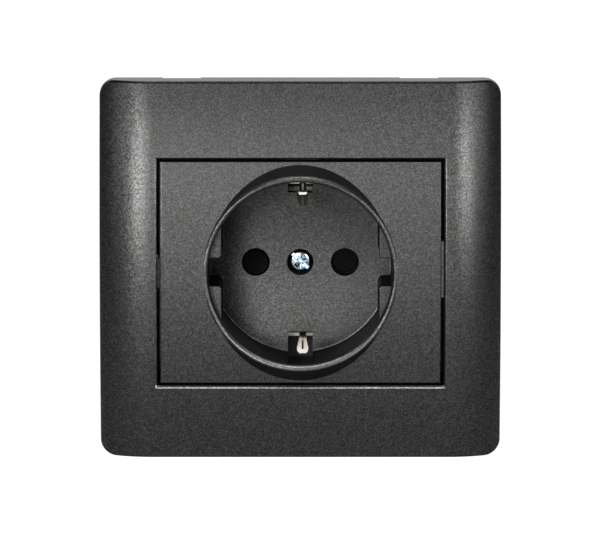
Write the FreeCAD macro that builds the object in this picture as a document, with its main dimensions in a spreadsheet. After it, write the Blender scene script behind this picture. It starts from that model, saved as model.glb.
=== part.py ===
import FreeCAD, Part
import math
import os
import Sketcher

# Earthed wall socket with a square metallic cover frame
# X runs to the right, Y into the wall and Z up. The wall plane is y = 0 and the
# socket axis is the Y axis, so all that stands in the room has negative y.

doc = FreeCAD.newDocument("wall_socket")
sheet = doc.addObject("Spreadsheet::Sheet", "Sizes")

SIZES = [
    ("frame_width", 85, "cover frame, left to right"),
    ("frame_height", 80.6, "cover frame, bottom to top"),
    ("frame_corner", 3.4, "radius of the frame's four corners"),
    ("crest_height", 14.6, "wall to the highest line of the front"),
    ("bulge_radius", 135, "front curve about a level axis"),
    ("flank_band", 11, "band at each side that rolls off"),
    ("flank_radius", 16, "roll-off of the side flanks"),
    ("shell_wall", 1.7, "wall of the painted frame shell"),
    ("edge_round", 0.5, "rounding of the frame's front edges"),
    ("window_width", 60.7, "window in the frame"),
    ("window_height", 48.4, "window in the frame"),
    ("window_chamfer", 0.35, "broken edge around the window"),
    ("sleeve_wall", 1.3, "wall that guides the plate in the window"),
    ("sleeve_rear", 7.5, "rear edge of that wall, off the wall plane"),
    ("layer_gap", 0.08, "joint between shell and carrier"),
    ("carrier_depth", 3, "rear carrier frame"),
    ("carrier_inset", 0.25, "carrier edge behind the shell edge"),
    ("carrier_side", 10, "carrier's upright bars"),
    ("carrier_bar", 11.8, "carrier's level bars"),
    ("lever_notch_width", 8.1, "notch for a lever blade"),
    ("lever_notch_deep", 2.6, "notch for a lever blade"),
    ("lever_notch_pitch", 50.3, "distance of the two notches"),
    ("release_left", -17, "release slot in the carrier's edge"),
    ("release_right", -11, "release slot in the carrier's edge"),
    ("release_deep", 0.8, "release slot in the carrier's edge"),
    ("hook_width", 6, "snap hooks of the carrier"),
    ("hook_thick", 1.3, "snap hooks of the carrier"),
    ("hook_reach", 3.6, "snap hooks of the carrier"),
    ("hook_nose", 0.5, "catch of the snap hooks"),
    ("hook_pitch", 27, "hook to the frame's centre line"),
    ("plate_gap", 0.6, "seam between plate and window"),
    ("plate_wall", 1.8, "wall of the centre plate"),
    ("plate_rear", 8, "rear edge of the plate's skirt, off the wall plane"),
    ("plate_round", 0.25, "rounding of the plate's front edges"),
    ("lug_front", 0.5, "right lug below the crest"),
    ("lug_low", -5, "lower end of the right lug"),
    ("lug_high", 7, "upper end of the right lug"),
    ("lug_deep", 2.2, "left lug below the crest"),
    ("lug_small", 3.2, "half length of the left lug"),
    ("well_radius", 19.5, "plug recess"),
    ("well_depth", 17.5, "crest to the recess floor"),
    ("cup_wall", 1.6, "wall of the recess"),
    ("floor_thick", 1.5, "floor of the recess"),
    ("lip_width", 1.3, "rounded lip around the recess"),
    ("lip_proud", 0.1, "lip in front of the plate's highest line"),
    ("collar_flare", 2.4, "how far the collar flares out below the lip"),
    ("collar_drop", 1.54, "fall of the collar over its flare"),
    ("collar_under", 3.6, "where the collar's underside meets the recess wall"),
    ("key_flat", 16.65, "half distance of the two key flats"),
    ("key_setback", 2.8, "key blocks behind the lip"),
    ("key_notch", 3, "half height of the notch in each key block"),
    ("key_round", 0.8, "rounding of the notch corners"),
    ("key_edge", 0.25, "rounding of the key blocks' front edges"),
    ("floor_cove", 0.35, "cove between recess floor and wall"),
    ("pin_pitch", 19, "centre distance of the plug pins"),
    ("pin_window", 6, "pin holes in the recess floor"),
    ("screw_window", 5.7, "recess of the centre screw"),
    ("slot_width", 5.3, "earth slots in floor and wall"),
    ("slot_start", 15, "inner end of the earth slots"),
    ("slot_top", 1.7, "front end of the earth slots behind the lip"),
    ("boss_radius", 3.9, "boss around the centre screw"),
    ("screw_sunk", 1.1, "screw head below the recess floor"),
    ("screw_head", 4.2, "diameter of the screw head"),
    ("screw_head_tall", 1.8, "height of the screw head"),
    ("screw_diameter", 3, "thread of the centre screw"),
    ("screw_length", 14, "shank of the centre screw"),
    ("drive_slot", 0.8, "slot in the screw head"),
    ("drive_deep", 0.9, "slot in the screw head"),
    ("drive_cross", 0.5, "cross recess wings"),
    ("drive_turn", 40, "angle at which the screw stopped"),
    ("shutter_gap", 0.15, "running gap of the shutter"),
    ("shutter_thick", 1, "web of the shutter"),
    ("shutter_rest", 2, "angle at which the shutter rests"),
    ("pad_radius", 2.75, "shutter pads behind the pin holes"),
    ("pad_edge", 0.2, "broken edge of the pads"),
    ("pad_slope", 0.35, "fall of the sloped pads"),
    ("pad_tall", 0.8, "shutter pads"),
    ("pad_skirt", 3.3, "radius of the shutter arm's end"),
    ("hub_radius", 5.7, "shutter hub"),
    ("hub_gap", 0.08, "bearing clearance of the shutter"),
    ("spring_space", 1.3, "room behind the shutter web"),
    ("spring_wire", 0.4, "diameter of the shutter spring's wire"),
    ("spring_radius", 6.6, "coil of the shutter spring"),
    ("post_orbit", 8.2, "spring posts off the axis"),
    ("post_angle", 14, "spring posts, degrees from the pins' line"),
    ("post_radius", 0.5, "spring posts"),
    ("cap_radius", 14.5, "cap that holds the shutter"),
    ("cap_wall", 1, "wall of the cap"),
    ("strap_width", 10, "earth strap"),
    ("strap_thick", 0.8, "earth strap"),
    ("nose_root", 16.6, "where the contact tongue leaves the floor"),
    ("nose_crest", 13.9, "innermost point of the contact tongue"),
    ("nose_crest_depth", 4.6, "that point behind the lip"),
    ("nose_tip", 17.5, "front end of the contact tongue"),
    ("nose_tip_depth", 0.9, "that end behind the lip"),
    ("nose_thick", 0.6, "sheet of the contact tongue"),
    ("nose_wide", 2.45, "contact tongue near its end"),
    ("nose_narrow", 1.4, "contact tongue from the strap to its crest"),
    ("nose_slit", 0.4, "slit between the two fingers"),
    ("nose_closed", 0.7, "closed end of the tongue before its slit"),
    ("nose_reach", 0.4, "how far a cut runs past the tongue"),
    ("nose_tip_bend", 0.9, "inner bend of the sheet below the tongue's end"),
    ("nose_long_bend", 4, "wide bend of the tongue"),
    ("nose_root_bend", 1.2, "bend of the tongue at the strap"),
    ("nose_shift", 0.5, "tongue to the right of the axis"),
    ("base_half_wide", 21, "socket insert"),
    ("base_half_tall", 23, "socket insert"),
    ("base_cut_wide", 6, "corner cut of the insert"),
    ("base_cut_tall", 9, "corner cut of the insert"),
    ("base_depth", 17.5, "depth of the insert block"),
    ("apron_half_wide", 3.9, "aprons that close the view past the insert"),
    ("apron_thick", 0.9, "aprons"),
    ("apron_inset", 0.6, "aprons inside the insert's ends"),
    ("apron_front", 0.4, "front edge of the aprons behind the wall plane"),
    ("base_round", 1.2, "rounding of the insert's corners"),
    ("tongue_width", 4, "tongue of the strap in the earth cage"),
    ("pin_bore", 5.2, "pin bores of the insert"),
    ("pin_lead", 0.5, "chamfer of the pin bores"),
    ("pin_wall", 2.2, "front wall with the pin bores"),
    ("chamber_radius", 3.7, "chamber around each pin contact"),
    ("tulip_bore", 4.9, "inner diameter of the pin contacts"),
    ("tulip_wall", 0.6, "sheet of the pin contacts"),
    ("tulip_length", 10, "length of the pin contacts"),
    ("tulip_slit", 0.8, "slits of the pin contacts"),
    ("clip_wire", 0.35, "contact spring sheet"),
    ("clip_width", 2, "contact spring"),
    ("clamp_side", 7.6, "terminal cages"),
    ("clamp_deep", 8, "terminal cages"),
    ("clamp_wall", 1.1, "terminal cages"),
    ("clamp_up_edge", 11, "phase cages below the insert's upper end"),
    ("clamp_down_edge", 8, "earth cage above the insert's lower end"),
    ("chamber_gap", 0.2, "room around each cage"),
    ("cage_screw", 3.4, "terminal screws"),
    ("cage_screw_head", 5.4, "terminal screws"),
    ("cage_screw_tall", 2.2, "head height of the terminal screws"),
    ("cage_screw_stand", 0.6, "terminal screw heads off their cage"),
    ("cover_thick", 1.8, "rear cover of the insert"),
    ("wire_hole", 2.8, "two wire entries a terminal"),
    ("wire_apart", 1.55, "wire entries off the cage's middle"),
    ("cover_screw", 2.2, "screws of the rear cover"),
    ("cover_screw_head", 4, "screws of the rear cover"),
    ("cover_screw_tall", 1.4, "head height of the cover screws"),
    ("cover_screw_across", 13.5, "screws of the rear cover off the axis"),
    ("cover_screw_edge", 8.5, "screws of the rear cover above the insert's lower end"),
    ("cover_screw_length", 6, "screws of the rear cover in the insert"),
    ("ring_margin", 7, "frame's side to the support ring"),
    ("ring_edge", 4.8, "frame's top and bottom to the support ring"),
    ("ring_corner", 12, "corner cut of the support ring"),
    ("ring_thick", 1, "sheet of the support ring"),
    ("ring_inset", 0.6, "opening of the ring inside the insert's ends"),
    ("fixing_pitch", 60, "fixing holes"),
    ("fixing_hole", 4.2, "round fixing holes"),
    ("fixing_slot", 8, "length of the levelling slots"),
    ("foot_near", 4.2, "feet of the ring off the centre line"),
    ("foot_far", 8.5, "feet of the ring off the centre line"),
    ("foot_length", 4.6, "feet of the ring on the insert"),
    ("rivet_head", 1.7, "radius of the rivet heads"),
    ("rivet_shank", 1.1, "radius of the rivet shanks"),
    ("rivet_length", 5, "depth of the rivets in the insert"),
    ("rivet_tall", 0.9, "head height of the rivets"),
    ("claw_screw_across", 24.6, "claw screws off the axis"),
    ("claw_screw_diameter", 3, "claw screws"),
    ("claw_screw_head", 4.6, "claw screws"),
    ("claw_screw_tall", 1.7, "head height of the claw screws"),
    ("claw_screw_length", 27, "claw screws"),
    ("claw_sheet", 1.2, "claw sheet"),
    ("claw_gap", 0.9, "claw screw to the claw's cheeks"),
    ("claw_foot", 22.1, "claw hinge behind the wall plane"),
    ("claw_front", 5.6, "front end of the claw"),
    ("claw_spur", 2, "spurs of the claw"),
    ("claw_slot", 4.2, "slot in the claw's foot"),
    ("guide_gap", 0.3, "claw cheek to its guide rib"),
    ("guide_thick", 1.2, "guide ribs"),
    ("guide_reach", 5, "guide ribs"),
]

for row, (alias, value, meaning) in enumerate(SIZES, start=1):
    sheet.set("A%d" % row, alias)
    sheet.set("B%d" % row, str(value))
    sheet.set("C%d" % row, meaning)
    sheet.setAlias("B%d" % row, alias)
doc.recompute()


def size(name):
    return "Sizes." + name


def number(expression):
    result = sheet.evalExpression(expression)
    return float(getattr(result, "Value", result))


def word(*parts):
    return "(" + " ".join(parts) + ")"


# Levels along Y that many pieces share, as expressions on the sheet
CREST = "(-Sizes.crest_height)"
BULGE_AXIS = "(Sizes.bulge_radius - Sizes.crest_height)"
FLOOR_FRONT = "(Sizes.well_depth - Sizes.crest_height)"
FLOOR_REAR = "(Sizes.well_depth - Sizes.crest_height + Sizes.floor_thick)"
PAD_FRONT = word(FLOOR_REAR, "+ Sizes.shutter_gap")
WEB_FRONT = word(PAD_FRONT, "+ Sizes.pad_tall")
WEB_REAR = word(WEB_FRONT, "+ Sizes.shutter_thick")
CAP_FRONT = word(WEB_REAR, "+ Sizes.spring_space")
CAP_REAR = word(CAP_FRONT, "+ Sizes.cap_wall")
STRAP_FRONT = word(CAP_REAR, "+ Sizes.shutter_gap")
STRAP_REAR = word(STRAP_FRONT, "+ Sizes.strap_thick")
BASE_REAR = word(STRAP_REAR, "+ Sizes.base_depth")
COVER_REAR = word(BASE_REAR, "+ Sizes.cover_thick")
HEAD_FRONT = word(FLOOR_FRONT, "+ Sizes.screw_sunk")
HEAD_REAR = word(HEAD_FRONT, "+ Sizes.screw_head_tall")
BOSS_REAR = STRAP_FRONT
CUP_RADIUS = "(Sizes.well_radius + Sizes.cup_wall)"
PIN_X = "(Sizes.pin_pitch / 2)"
PLATE_WIDTH = "(Sizes.window_width - 2 * Sizes.plate_gap)"
PLATE_HEIGHT = "(Sizes.window_height - 2 * Sizes.plate_gap)"
SHELL_REAR = "(Sizes.carrier_depth + Sizes.layer_gap)"
TULIP_FRONT = word(STRAP_REAR, "+ Sizes.pin_wall + 0.3 * Sizes.pin_wall")
TULIP_REAR = word(TULIP_FRONT, "+ Sizes.tulip_length")
CLAMP_UP = "(Sizes.base_half_tall - Sizes.clamp_up_edge)"
CLAMP_DOWN = "(Sizes.base_half_tall - Sizes.clamp_down_edge)"
COVER_SCREW_DOWN = "(Sizes.base_half_tall - Sizes.cover_screw_edge)"
CLAMP_FRONT = word(BASE_REAR, "- Sizes.clamp_deep - 2 * Sizes.strap_thick")
BLADE_X = word(PIN_X, "+ Sizes.tulip_bore / 2")
BLADE_FRONT = word(TULIP_FRONT, "+ Sizes.clip_width + 1")
BLADE_TOP = word(CLAMP_UP, "+ Sizes.clamp_side / 2 - Sizes.clamp_wall - 0.1")
TONGUE_Z = word("Sizes.clamp_side / 2 - Sizes.clamp_wall - Sizes.strap_thick -", CLAMP_DOWN)
RING_BORE = "(Sizes.base_half_tall - Sizes.ring_inset)"
RING_WIDE = "(Sizes.frame_width - 2 * Sizes.ring_margin)"
RING_TALL = "(Sizes.frame_height - 2 * Sizes.ring_edge)"
FOOT_Z = word(RING_BORE, "+ 0.2")
RIVET_X = "((Sizes.foot_near + Sizes.foot_far) / 2)"
RIVET_Z = word(FOOT_Z, "+ Sizes.ring_thick - 0.6 * Sizes.foot_length")
FLANK_START = "(Sizes.frame_width / 2 - Sizes.flank_band)"
CHEEK_OUTER = "(Sizes.claw_screw_diameter / 2 + Sizes.claw_gap + Sizes.claw_sheet)"
POST_X = "(Sizes.post_orbit * cos(Sizes.post_angle * 1 deg))"
POST_Z = "(Sizes.post_orbit * sin(Sizes.post_angle * 1 deg))"
CLAMP_X = word(PIN_X, "+ (Sizes.tulip_bore + Sizes.clamp_side) / 2 - Sizes.clamp_wall")


# Sketch helpers

def new_body(name):
    body = doc.addObject("PartDesign::Body", name)
    body.Label = name
    return body


def origin_plane(body, role):
    return [item for item in body.Origin.OriginFeatures if item.Role == role][0]


def new_sketch(body, plane, offset=None):
    """A sketch on an origin plane; XZ faces the room, so its offset is minus y."""
    sketch = body.newObject("Sketcher::SketchObject", body.Name + "_sketch")
    sketch.AttachmentSupport = [(origin_plane(body, plane + "_Plane"), "")]
    sketch.MapMode = "FlatFace"
    if offset:
        sketch.setExpression("AttachmentOffset.Base.z", offset)
    return sketch


def place_point(sketch, geometry, end, u, v):
    for kind, text, axis in (("DistanceX", u, -2), ("DistanceY", v, -1)):
        if text is None:
            continue
        if text == "0":
            sketch.addConstraint(Sketcher.Constraint("PointOnObject", geometry, end, axis))
            continue
        rule = Sketcher.Constraint(kind, -1, 1, geometry, end, number(text))
        index = sketch.addConstraint(rule)
        sketch.setExpression("Constraints[%d]" % index, text)


def outline(sketch, points):
    """A closed run of straight lines through points given as expressions."""
    ends = [FreeCAD.Vector(number(u), number(v), 0) for u, v in points]
    first = sketch.GeometryCount
    count = len(points)
    for i in range(count):
        sketch.addGeometry(Part.LineSegment(ends[i], ends[(i + 1) % count]), False)
    for i in range(count):
        following = first + (i + 1) % count
        sketch.addConstraint(Sketcher.Constraint("Coincident", first + i, 2, following, 1))
    for i, (u, v) in enumerate(points):
        place_point(sketch, first + i, 1, u, v)


def rectangle(sketch, u0, u1, v0, v1):
    outline(sketch, [(u0, v0), (u1, v0), (u1, v1), (u0, v1)])


def centred(sketch, width, height):
    rectangle(sketch, "-%s / 2" % width, "%s / 2" % width, "-%s / 2" % height, "%s / 2" % height)


def circle(sketch, u, v, radius):
    centre = FreeCAD.Vector(number(u), number(v), 0)
    arc = Part.Circle(centre, FreeCAD.Vector(0, 0, 1), number(radius))
    geometry = sketch.addGeometry(arc, False)
    place_point(sketch, geometry, 3, u, v)
    index = sketch.addConstraint(Sketcher.Constraint("Radius", geometry, number(radius)))
    sketch.setExpression("Constraints[%d]" % index, radius)


def axis_line(sketch, start, end):
    """A construction line that a revolved feature turns about."""
    ends = [FreeCAD.Vector(number(u), number(v), 0) for u, v in (start, end)]
    line = sketch.addGeometry(Part.LineSegment(ends[0], ends[1]), True)
    place_point(sketch, line, 1, *start)
    place_point(sketch, line, 2, *end)


# Feature helpers

def add_feature(body, kind, sketch, length=None, ahead=True):
    """A pad or pocket; ahead follows the sketch's normal, which on XZ is towards the room."""
    feature = body.newObject("PartDesign::" + kind, body.Name + "_" + kind.lower())
    feature.Profile = sketch
    feature.Reversed = ahead if kind == "Pocket" else not ahead
    if length is None:
        feature.Type = "ThroughAll"
    else:
        feature.setExpression("Length", length)
    return feature


def turn(body, kind, sketch, axis, angle=None):
    feature = body.newObject("PartDesign::" + kind, body.Name + "_" + kind.lower())
    feature.Profile = sketch
    feature.ReferenceAxis = (sketch, [axis])
    feature.Midplane = True
    if angle:
        feature.setExpression("Angle", angle)
    else:
        feature.Angle = 360
    return feature


def edges_of(shape, wanted):
    return ["Edge%d" % (i + 1) for i, edge in enumerate(shape.Edges) if wanted(edge)]


def dress(body, kind, wanted, amount):
    """A fillet or chamfer on the edges of the body's last feature that wanted() picks."""
    doc.recompute()
    last = body.Tip
    feature = body.newObject("PartDesign::" + kind, body.Name + "_" + kind.lower())
    feature.Base = (last, edges_of(last.Shape, wanted))
    feature.setExpression("Radius" if kind == "Fillet" else "Size", amount)
    return feature


def along(edge, axis):
    if not isinstance(edge.Curve, Part.Line):
        return False
    return abs(getattr(edge.tangentAt(edge.FirstParameter), axis)) > 0.999


def near(value, target):
    return abs(value - target) < 0.02


# Part helpers

def box(name, x0, x1, y0, y1, z0, z1):
    block = doc.addObject("Part::Box", name)
    for prop, low, high, axis in (("Length", x0, x1, "x"), ("Width", y0, y1, "y"),
                                  ("Height", z0, z1, "z")):
        block.setExpression(prop, "(%s) - (%s)" % (high, low))
        block.setExpression("Placement.Base." + axis, low)
    return block


TURNS = {
    "y": FreeCAD.Rotation(FreeCAD.Vector(1, 0, 0), -90),
    "z": FreeCAD.Rotation(),
}


def rod(name, axis, at, radius, length):
    """A cylinder that starts at the point and runs along +axis."""
    bar = doc.addObject("Part::Cylinder", name)
    bar.Placement = FreeCAD.Placement(FreeCAD.Vector(), TURNS[axis])
    bar.setExpression("Radius", radius)
    bar.setExpression("Height", length)
    for letter, text in zip("xyz", at):
        bar.setExpression("Placement.Base." + letter, text)
    return bar


def fuse(name, shapes):
    joined = doc.addObject("Part::MultiFuse", name)
    joined.Shapes = shapes
    joined.Refine = True
    return joined


def cut(name, base, tools):
    result = doc.addObject("Part::Cut", name)
    result.Base = base
    result.Tool = tools[0] if len(tools) == 1 else fuse(name + "_tools", tools)
    result.Refine = True
    return result


def group(name, shapes):
    """Loose like pieces that share one file."""
    bundle = doc.addObject("Part::Compound", name)
    bundle.Links = shapes
    return bundle


NODES = {}


def node(name, thing):
    thing.Label = name
    NODES[name] = thing
    return thing


# The bulged front: a groove turned about a level axis far behind the wall takes
# off all that stands in front of it; with flanks it also rolls the sides off

GROOVE_SWEEP = 60


def cut_front(body, crest, flank=None):
    clear = "(%s + 10)" % crest
    reach = "(Sizes.frame_width / 2 + 0.5)"
    sketch = new_sketch(body, "XY")
    if flank is None:
        rectangle(sketch, "-" + reach, reach, "-" + clear, "-" + crest)
    else:
        flanked_profile(sketch, crest, clear, reach, flank)
    axis_line(sketch, ("-" + reach, BULGE_AXIS), (reach, BULGE_AXIS))
    groove = turn(body, "Groove", sketch, "Axis0")
    groove.Angle = GROOVE_SWEEP
    return groove


def flanked_profile(sketch, crest, clear, reach, radius):
    """Level in the middle, with an arc that rolls off to each side."""
    flat = number(FLANK_START)
    bend = number(radius)
    top = number(crest)
    far = number(reach)
    drop = bend - math.sqrt(bend * bend - (far - flat) ** 2)
    places = [(-far, -number(clear)), (far, -number(clear)), (far, drop - top),
              (flat, -top), (-flat, -top), (-far, drop - top)]
    corner = [FreeCAD.Vector(u, v, 0) for u, v in places]
    roll = math.asin((far - flat) / bend)
    down = -math.pi / 2
    up = FreeCAD.Vector(0, 0, 1)
    right = Part.Circle(FreeCAD.Vector(flat, bend - top, 0), up, bend)
    left = Part.Circle(FreeCAD.Vector(-flat, bend - top, 0), up, bend)
    sketch.addGeometry(Part.LineSegment(corner[0], corner[1]), False)
    sketch.addGeometry(Part.LineSegment(corner[1], corner[2]), False)
    sketch.addGeometry(Part.ArcOfCircle(right, down, down + roll), False)
    sketch.addGeometry(Part.LineSegment(corner[3], corner[4]), False)
    sketch.addGeometry(Part.ArcOfCircle(left, down - roll, down), False)
    sketch.addGeometry(Part.LineSegment(corner[5], corner[0]), False)
    joints = ((0, 2, 1, 1), (1, 2, 2, 2), (2, 1, 3, 1), (3, 2, 4, 2), (4, 1, 5, 1), (5, 2, 0, 1))
    for pair in joints:
        sketch.addConstraint(Sketcher.Constraint("Coincident", *pair))
    for arc, side in ((2, ""), (4, "-")):
        place_point(sketch, arc, 3, side + FLANK_START, "(%s - %s)" % (radius, crest))
        index = sketch.addConstraint(Sketcher.Constraint("Radius", arc, bend))
        sketch.setExpression("Constraints[%d]" % index, radius)
    place_point(sketch, 0, 1, "-" + reach, "-" + clear)
    place_point(sketch, 0, 2, reach, "-" + clear)
    place_point(sketch, 1, 2, reach, None)
    place_point(sketch, 5, 1, "-" + reach, None)
    place_point(sketch, 3, 1, FLANK_START, None)
    place_point(sketch, 3, 2, "-" + FLANK_START, None)


def bulged_block(name, width, height, rear, crest, corner=None, flank=None):
    """A block from a level rear to the bulged front; rear and crest count off the wall."""
    body = new_body(name)
    sketch = new_sketch(body, "XZ", rear)
    centred(sketch, width, height)
    add_feature(body, "Pad", sketch, "%s + 1 - %s" % (crest, rear))
    if corner:
        dress(body, "Fillet", lambda edge: along(edge, "y"), corner)
    cut_front(body, crest, flank)
    doc.recompute()
    return body


# Painted frame shell

HALF_HIGH = "(Sizes.frame_height / 2)"
SKIRT_INSIDE = "(Sizes.frame_height / 2 - Sizes.shell_wall)"


def frame_shell():
    outside = bulged_block("shell_outside", size("frame_width"), size("frame_height"), SHELL_REAR,
                           size("crest_height"), size("frame_corner"), size("flank_radius"))
    side = number("Sizes.frame_width / 2") - 1
    top = number(HALF_HIGH) - 1
    rear = -number(SHELL_REAR) - 0.5

    def front_rim(edge):
        middle = edge.CenterOfMass
        outer = abs(middle.x) > side or abs(middle.z) > top
        return outer and middle.y < rear and not along(edge, "y")

    dress(outside, "Fillet", front_rim, size("edge_round"))
    window = new_sketch(outside, "XZ")
    centred(window, size("window_width"), size("window_height"))
    add_feature(outside, "Pocket", window)
    half_wide = number("Sizes.window_width / 2")
    half_tall = number("Sizes.window_height / 2")

    def window_rim(edge):
        middle = edge.CenterOfMass
        front = middle.y < -number("Sizes.crest_height / 2")
        inside = abs(middle.x) < half_wide + 0.01 and abs(middle.z) < half_tall + 0.01
        return front and inside and not along(edge, "y")

    dress(outside, "Chamfer", window_rim, size("window_chamfer"))
    inside = bulged_block("shell_inside", word(size("frame_width"), "- 2 *", size("shell_wall")),
                          word(size("frame_height"), "- 2 *", size("shell_wall")), "0",
                          word(size("crest_height"), "-", size("shell_wall")),
                          word(size("frame_corner"), "-", size("shell_wall")),
                          word(size("flank_radius"), "-", size("shell_wall")))
    sleeve = new_sketch(inside, "XZ", size("sleeve_rear"))
    centred(sleeve, word(size("window_width"), "+ 2 *", size("sleeve_wall")),
            word(size("window_height"), "+ 2 *", size("sleeve_wall")))
    add_feature(inside, "Pocket", sleeve)
    catches = []
    for place, (side, end) in enumerate((("", ""), ("-", ""), ("", "-"), ("-", "-"))):
        x_mid = side + size("hook_pitch")
        low, high = SKIRT_INSIDE + " - 0.5", SKIRT_INSIDE + " + Sizes.hook_nose + 0.1"
        if end:
            low, high = "-(%s)" % high, "-(%s)" % low
        catches.append(box("hook_catch_%d" % place, x_mid + " - Sizes.hook_width / 2 - 0.2",
                           x_mid + " + Sizes.hook_width / 2 + 0.2",
                           "-Sizes.carrier_depth - Sizes.hook_reach - 0.15",
                           "-Sizes.carrier_depth - Sizes.hook_reach / 2 + 0.15", low, high))
    node("cover_frame", cut("cover_frame", outside, [inside] + catches))


# Carrier frame behind the shell

def frame_carrier():
    body = new_body("frame_carrier")
    inset = "- 2 * Sizes.carrier_inset"
    sketch = new_sketch(body, "XZ")
    centred(sketch, word(size("frame_width"), inset), word(size("frame_height"), inset))
    add_feature(body, "Pad", sketch, size("carrier_depth"))
    dress(body, "Fillet", lambda edge: along(edge, "y"), "Sizes.frame_corner - Sizes.carrier_inset")
    hooks = new_sketch(body, "XZ", size("carrier_depth"))
    outer = word(SKIRT_INSIDE, "- Sizes.hook_nose / 2")
    for side, end in (("", ""), ("-", ""), ("", "-"), ("-", "-")):
        x_mid = side + size("hook_pitch")
        rectangle(hooks, x_mid + " - Sizes.hook_width / 2", x_mid + " + Sizes.hook_width / 2",
                  end + outer, end + word(outer, "- Sizes.hook_thick"))
    add_feature(body, "Pad", hooks, size("hook_reach"))
    noses = new_sketch(body, "XZ", "Sizes.carrier_depth + Sizes.hook_reach / 2")
    for side, end in (("", ""), ("-", ""), ("", "-"), ("-", "-")):
        x_mid = side + size("hook_pitch")
        rectangle(noses, x_mid + " - Sizes.hook_width / 2", x_mid + " + Sizes.hook_width / 2",
                  end + word(outer, "+ Sizes.hook_nose"), end + word(outer, "- Sizes.hook_thick"))
    add_feature(body, "Pad", noses, "Sizes.hook_reach / 2")
    front = -number("Sizes.carrier_depth + Sizes.hook_reach")
    catch = number(word(outer, "+ Sizes.hook_nose"))
    dress(body, "Chamfer", lambda edge: along(edge, "x") and near(edge.CenterOfMass.y, front)
          and near(abs(edge.CenterOfMass.z), catch), "Sizes.hook_nose * 1.4")
    opening = new_sketch(body, "XZ")
    centred(opening, "(Sizes.frame_width - 2 * Sizes.carrier_side)",
            "(Sizes.frame_height - 2 * Sizes.carrier_bar)")
    add_feature(body, "Pocket", opening)
    recess = new_sketch(body, "XZ")
    centred(recess, word(RING_WIDE, "+ 0.6"), word(RING_TALL, "+ 0.6"))
    add_feature(body, "Pocket", recess, "Sizes.ring_thick + 0.1")
    notches = new_sketch(body, "XZ")
    for side in ("", "-"):
        for end in ("", "-"):
            x_mid = side + "Sizes.lever_notch_pitch / 2"
            rectangle(notches, x_mid + " - Sizes.lever_notch_width / 2",
                      x_mid + " + Sizes.lever_notch_width / 2",
                      end + "(Sizes.frame_height / 2 - Sizes.lever_notch_deep)",
                      end + "(Sizes.frame_height / 2 + 1)")
    add_feature(body, "Pocket", notches)
    slot = new_sketch(body, "XZ", size("carrier_depth"))
    rectangle(slot, "Sizes.release_left", "Sizes.release_right",
              "Sizes.frame_height / 2 - 3", "Sizes.frame_height / 2 + 1")
    add_feature(body, "Pocket", slot, size("release_deep"), ahead=False)
    node("frame_carrier", body)


# Centre plate: plate, collar and plug recess are one moulding

def key_segment(sketch, side, end):
    """One key block: a flat, the notch edge and the arc of the recess wall."""
    radius = number("Sizes.well_radius + Sizes.cup_wall / 2")
    flat = number("%sSizes.key_flat" % side)
    edge = number("%sSizes.key_notch" % end)
    across = math.copysign(math.sqrt(radius ** 2 - edge ** 2), flat)
    along_flat = math.copysign(math.sqrt(radius ** 2 - flat ** 2), edge)
    corner = FreeCAD.Vector(flat, edge, 0)
    near_end = FreeCAD.Vector(across, edge, 0)
    far_end = FreeCAD.Vector(flat, along_flat, 0)
    first = sketch.addGeometry(Part.LineSegment(corner, near_end), False)
    ring = Part.Circle(FreeCAD.Vector(), FreeCAD.Vector(0, 0, 1), radius)
    angles = [math.atan2(end_point.y, end_point.x) for end_point in (near_end, far_end)]
    turn_back = (angles[1] - angles[0]) % (2 * math.pi) > math.pi
    if turn_back:
        angles.reverse()
    arc = sketch.addGeometry(Part.ArcOfCircle(ring, *angles), False)
    last = sketch.addGeometry(Part.LineSegment(far_end, corner), False)
    start, finish = (2, 1) if turn_back else (1, 2)
    for pair in ((first, 2, arc, start), (arc, finish, last, 1), (last, 2, first, 1)):
        sketch.addConstraint(Sketcher.Constraint("Coincident", *pair))
    sketch.addConstraint(Sketcher.Constraint("Coincident", arc, 3, -1, 1))
    index = sketch.addConstraint(Sketcher.Constraint("Radius", arc, radius))
    sketch.setExpression("Constraints[%d]" % index, "Sizes.well_radius + Sizes.cup_wall / 2")
    place_point(sketch, first, 1, side + size("key_flat"), end + size("key_notch"))
    place_point(sketch, first, 2, None, end + size("key_notch"))
    place_point(sketch, last, 1, side + size("key_flat"), None)


def cup_profile(sketch):
    """Half section of recess, lip and collar, turned about the socket axis."""
    radius = number("Sizes.lip_width / 2")
    inner = "Sizes.well_radius"
    outer = "(Sizes.well_radius + Sizes.lip_width)"
    lip_base = "(Sizes.lip_width / 2 - Sizes.lip_proud - Sizes.crest_height)"
    flare = "(Sizes.well_radius + Sizes.lip_width + Sizes.collar_flare)"
    flare_y = word(lip_base, "+ Sizes.collar_drop")
    under_y = word(lip_base, "+ Sizes.collar_under")
    points = [("0", FLOOR_REAR), ("0", FLOOR_FRONT), (inner, FLOOR_FRONT), (inner, lip_base),
              (outer, lip_base), (flare, flare_y), (CUP_RADIUS, under_y), (CUP_RADIUS, FLOOR_REAR)]
    ends = [FreeCAD.Vector(number(u), number(v), 0) for u, v in points]
    centre = FreeCAD.Vector(number(inner) + radius, number(lip_base), 0)
    ring = Part.Circle(centre, FreeCAD.Vector(0, 0, 1), radius)
    runs = [(0, 1), (1, 2), (2, 3), None, (4, 5), (5, 6), (6, 7), (7, 0)]
    for run in runs:
        if run is None:
            sketch.addGeometry(Part.ArcOfCircle(ring, math.pi, 2 * math.pi), False)
        else:
            sketch.addGeometry(Part.LineSegment(ends[run[0]], ends[run[1]]), False)
    for i in range(8):
        sketch.addConstraint(Sketcher.Constraint("Coincident", i, 2, (i + 1) % 8, 1))
    for i, (u, v) in enumerate(points):
        place_point(sketch, i, 1, u, v)
    place_point(sketch, 3, 3, None, lip_base)
    axis_line(sketch, ("0", CREST), ("0", FLOOR_REAR))


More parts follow.
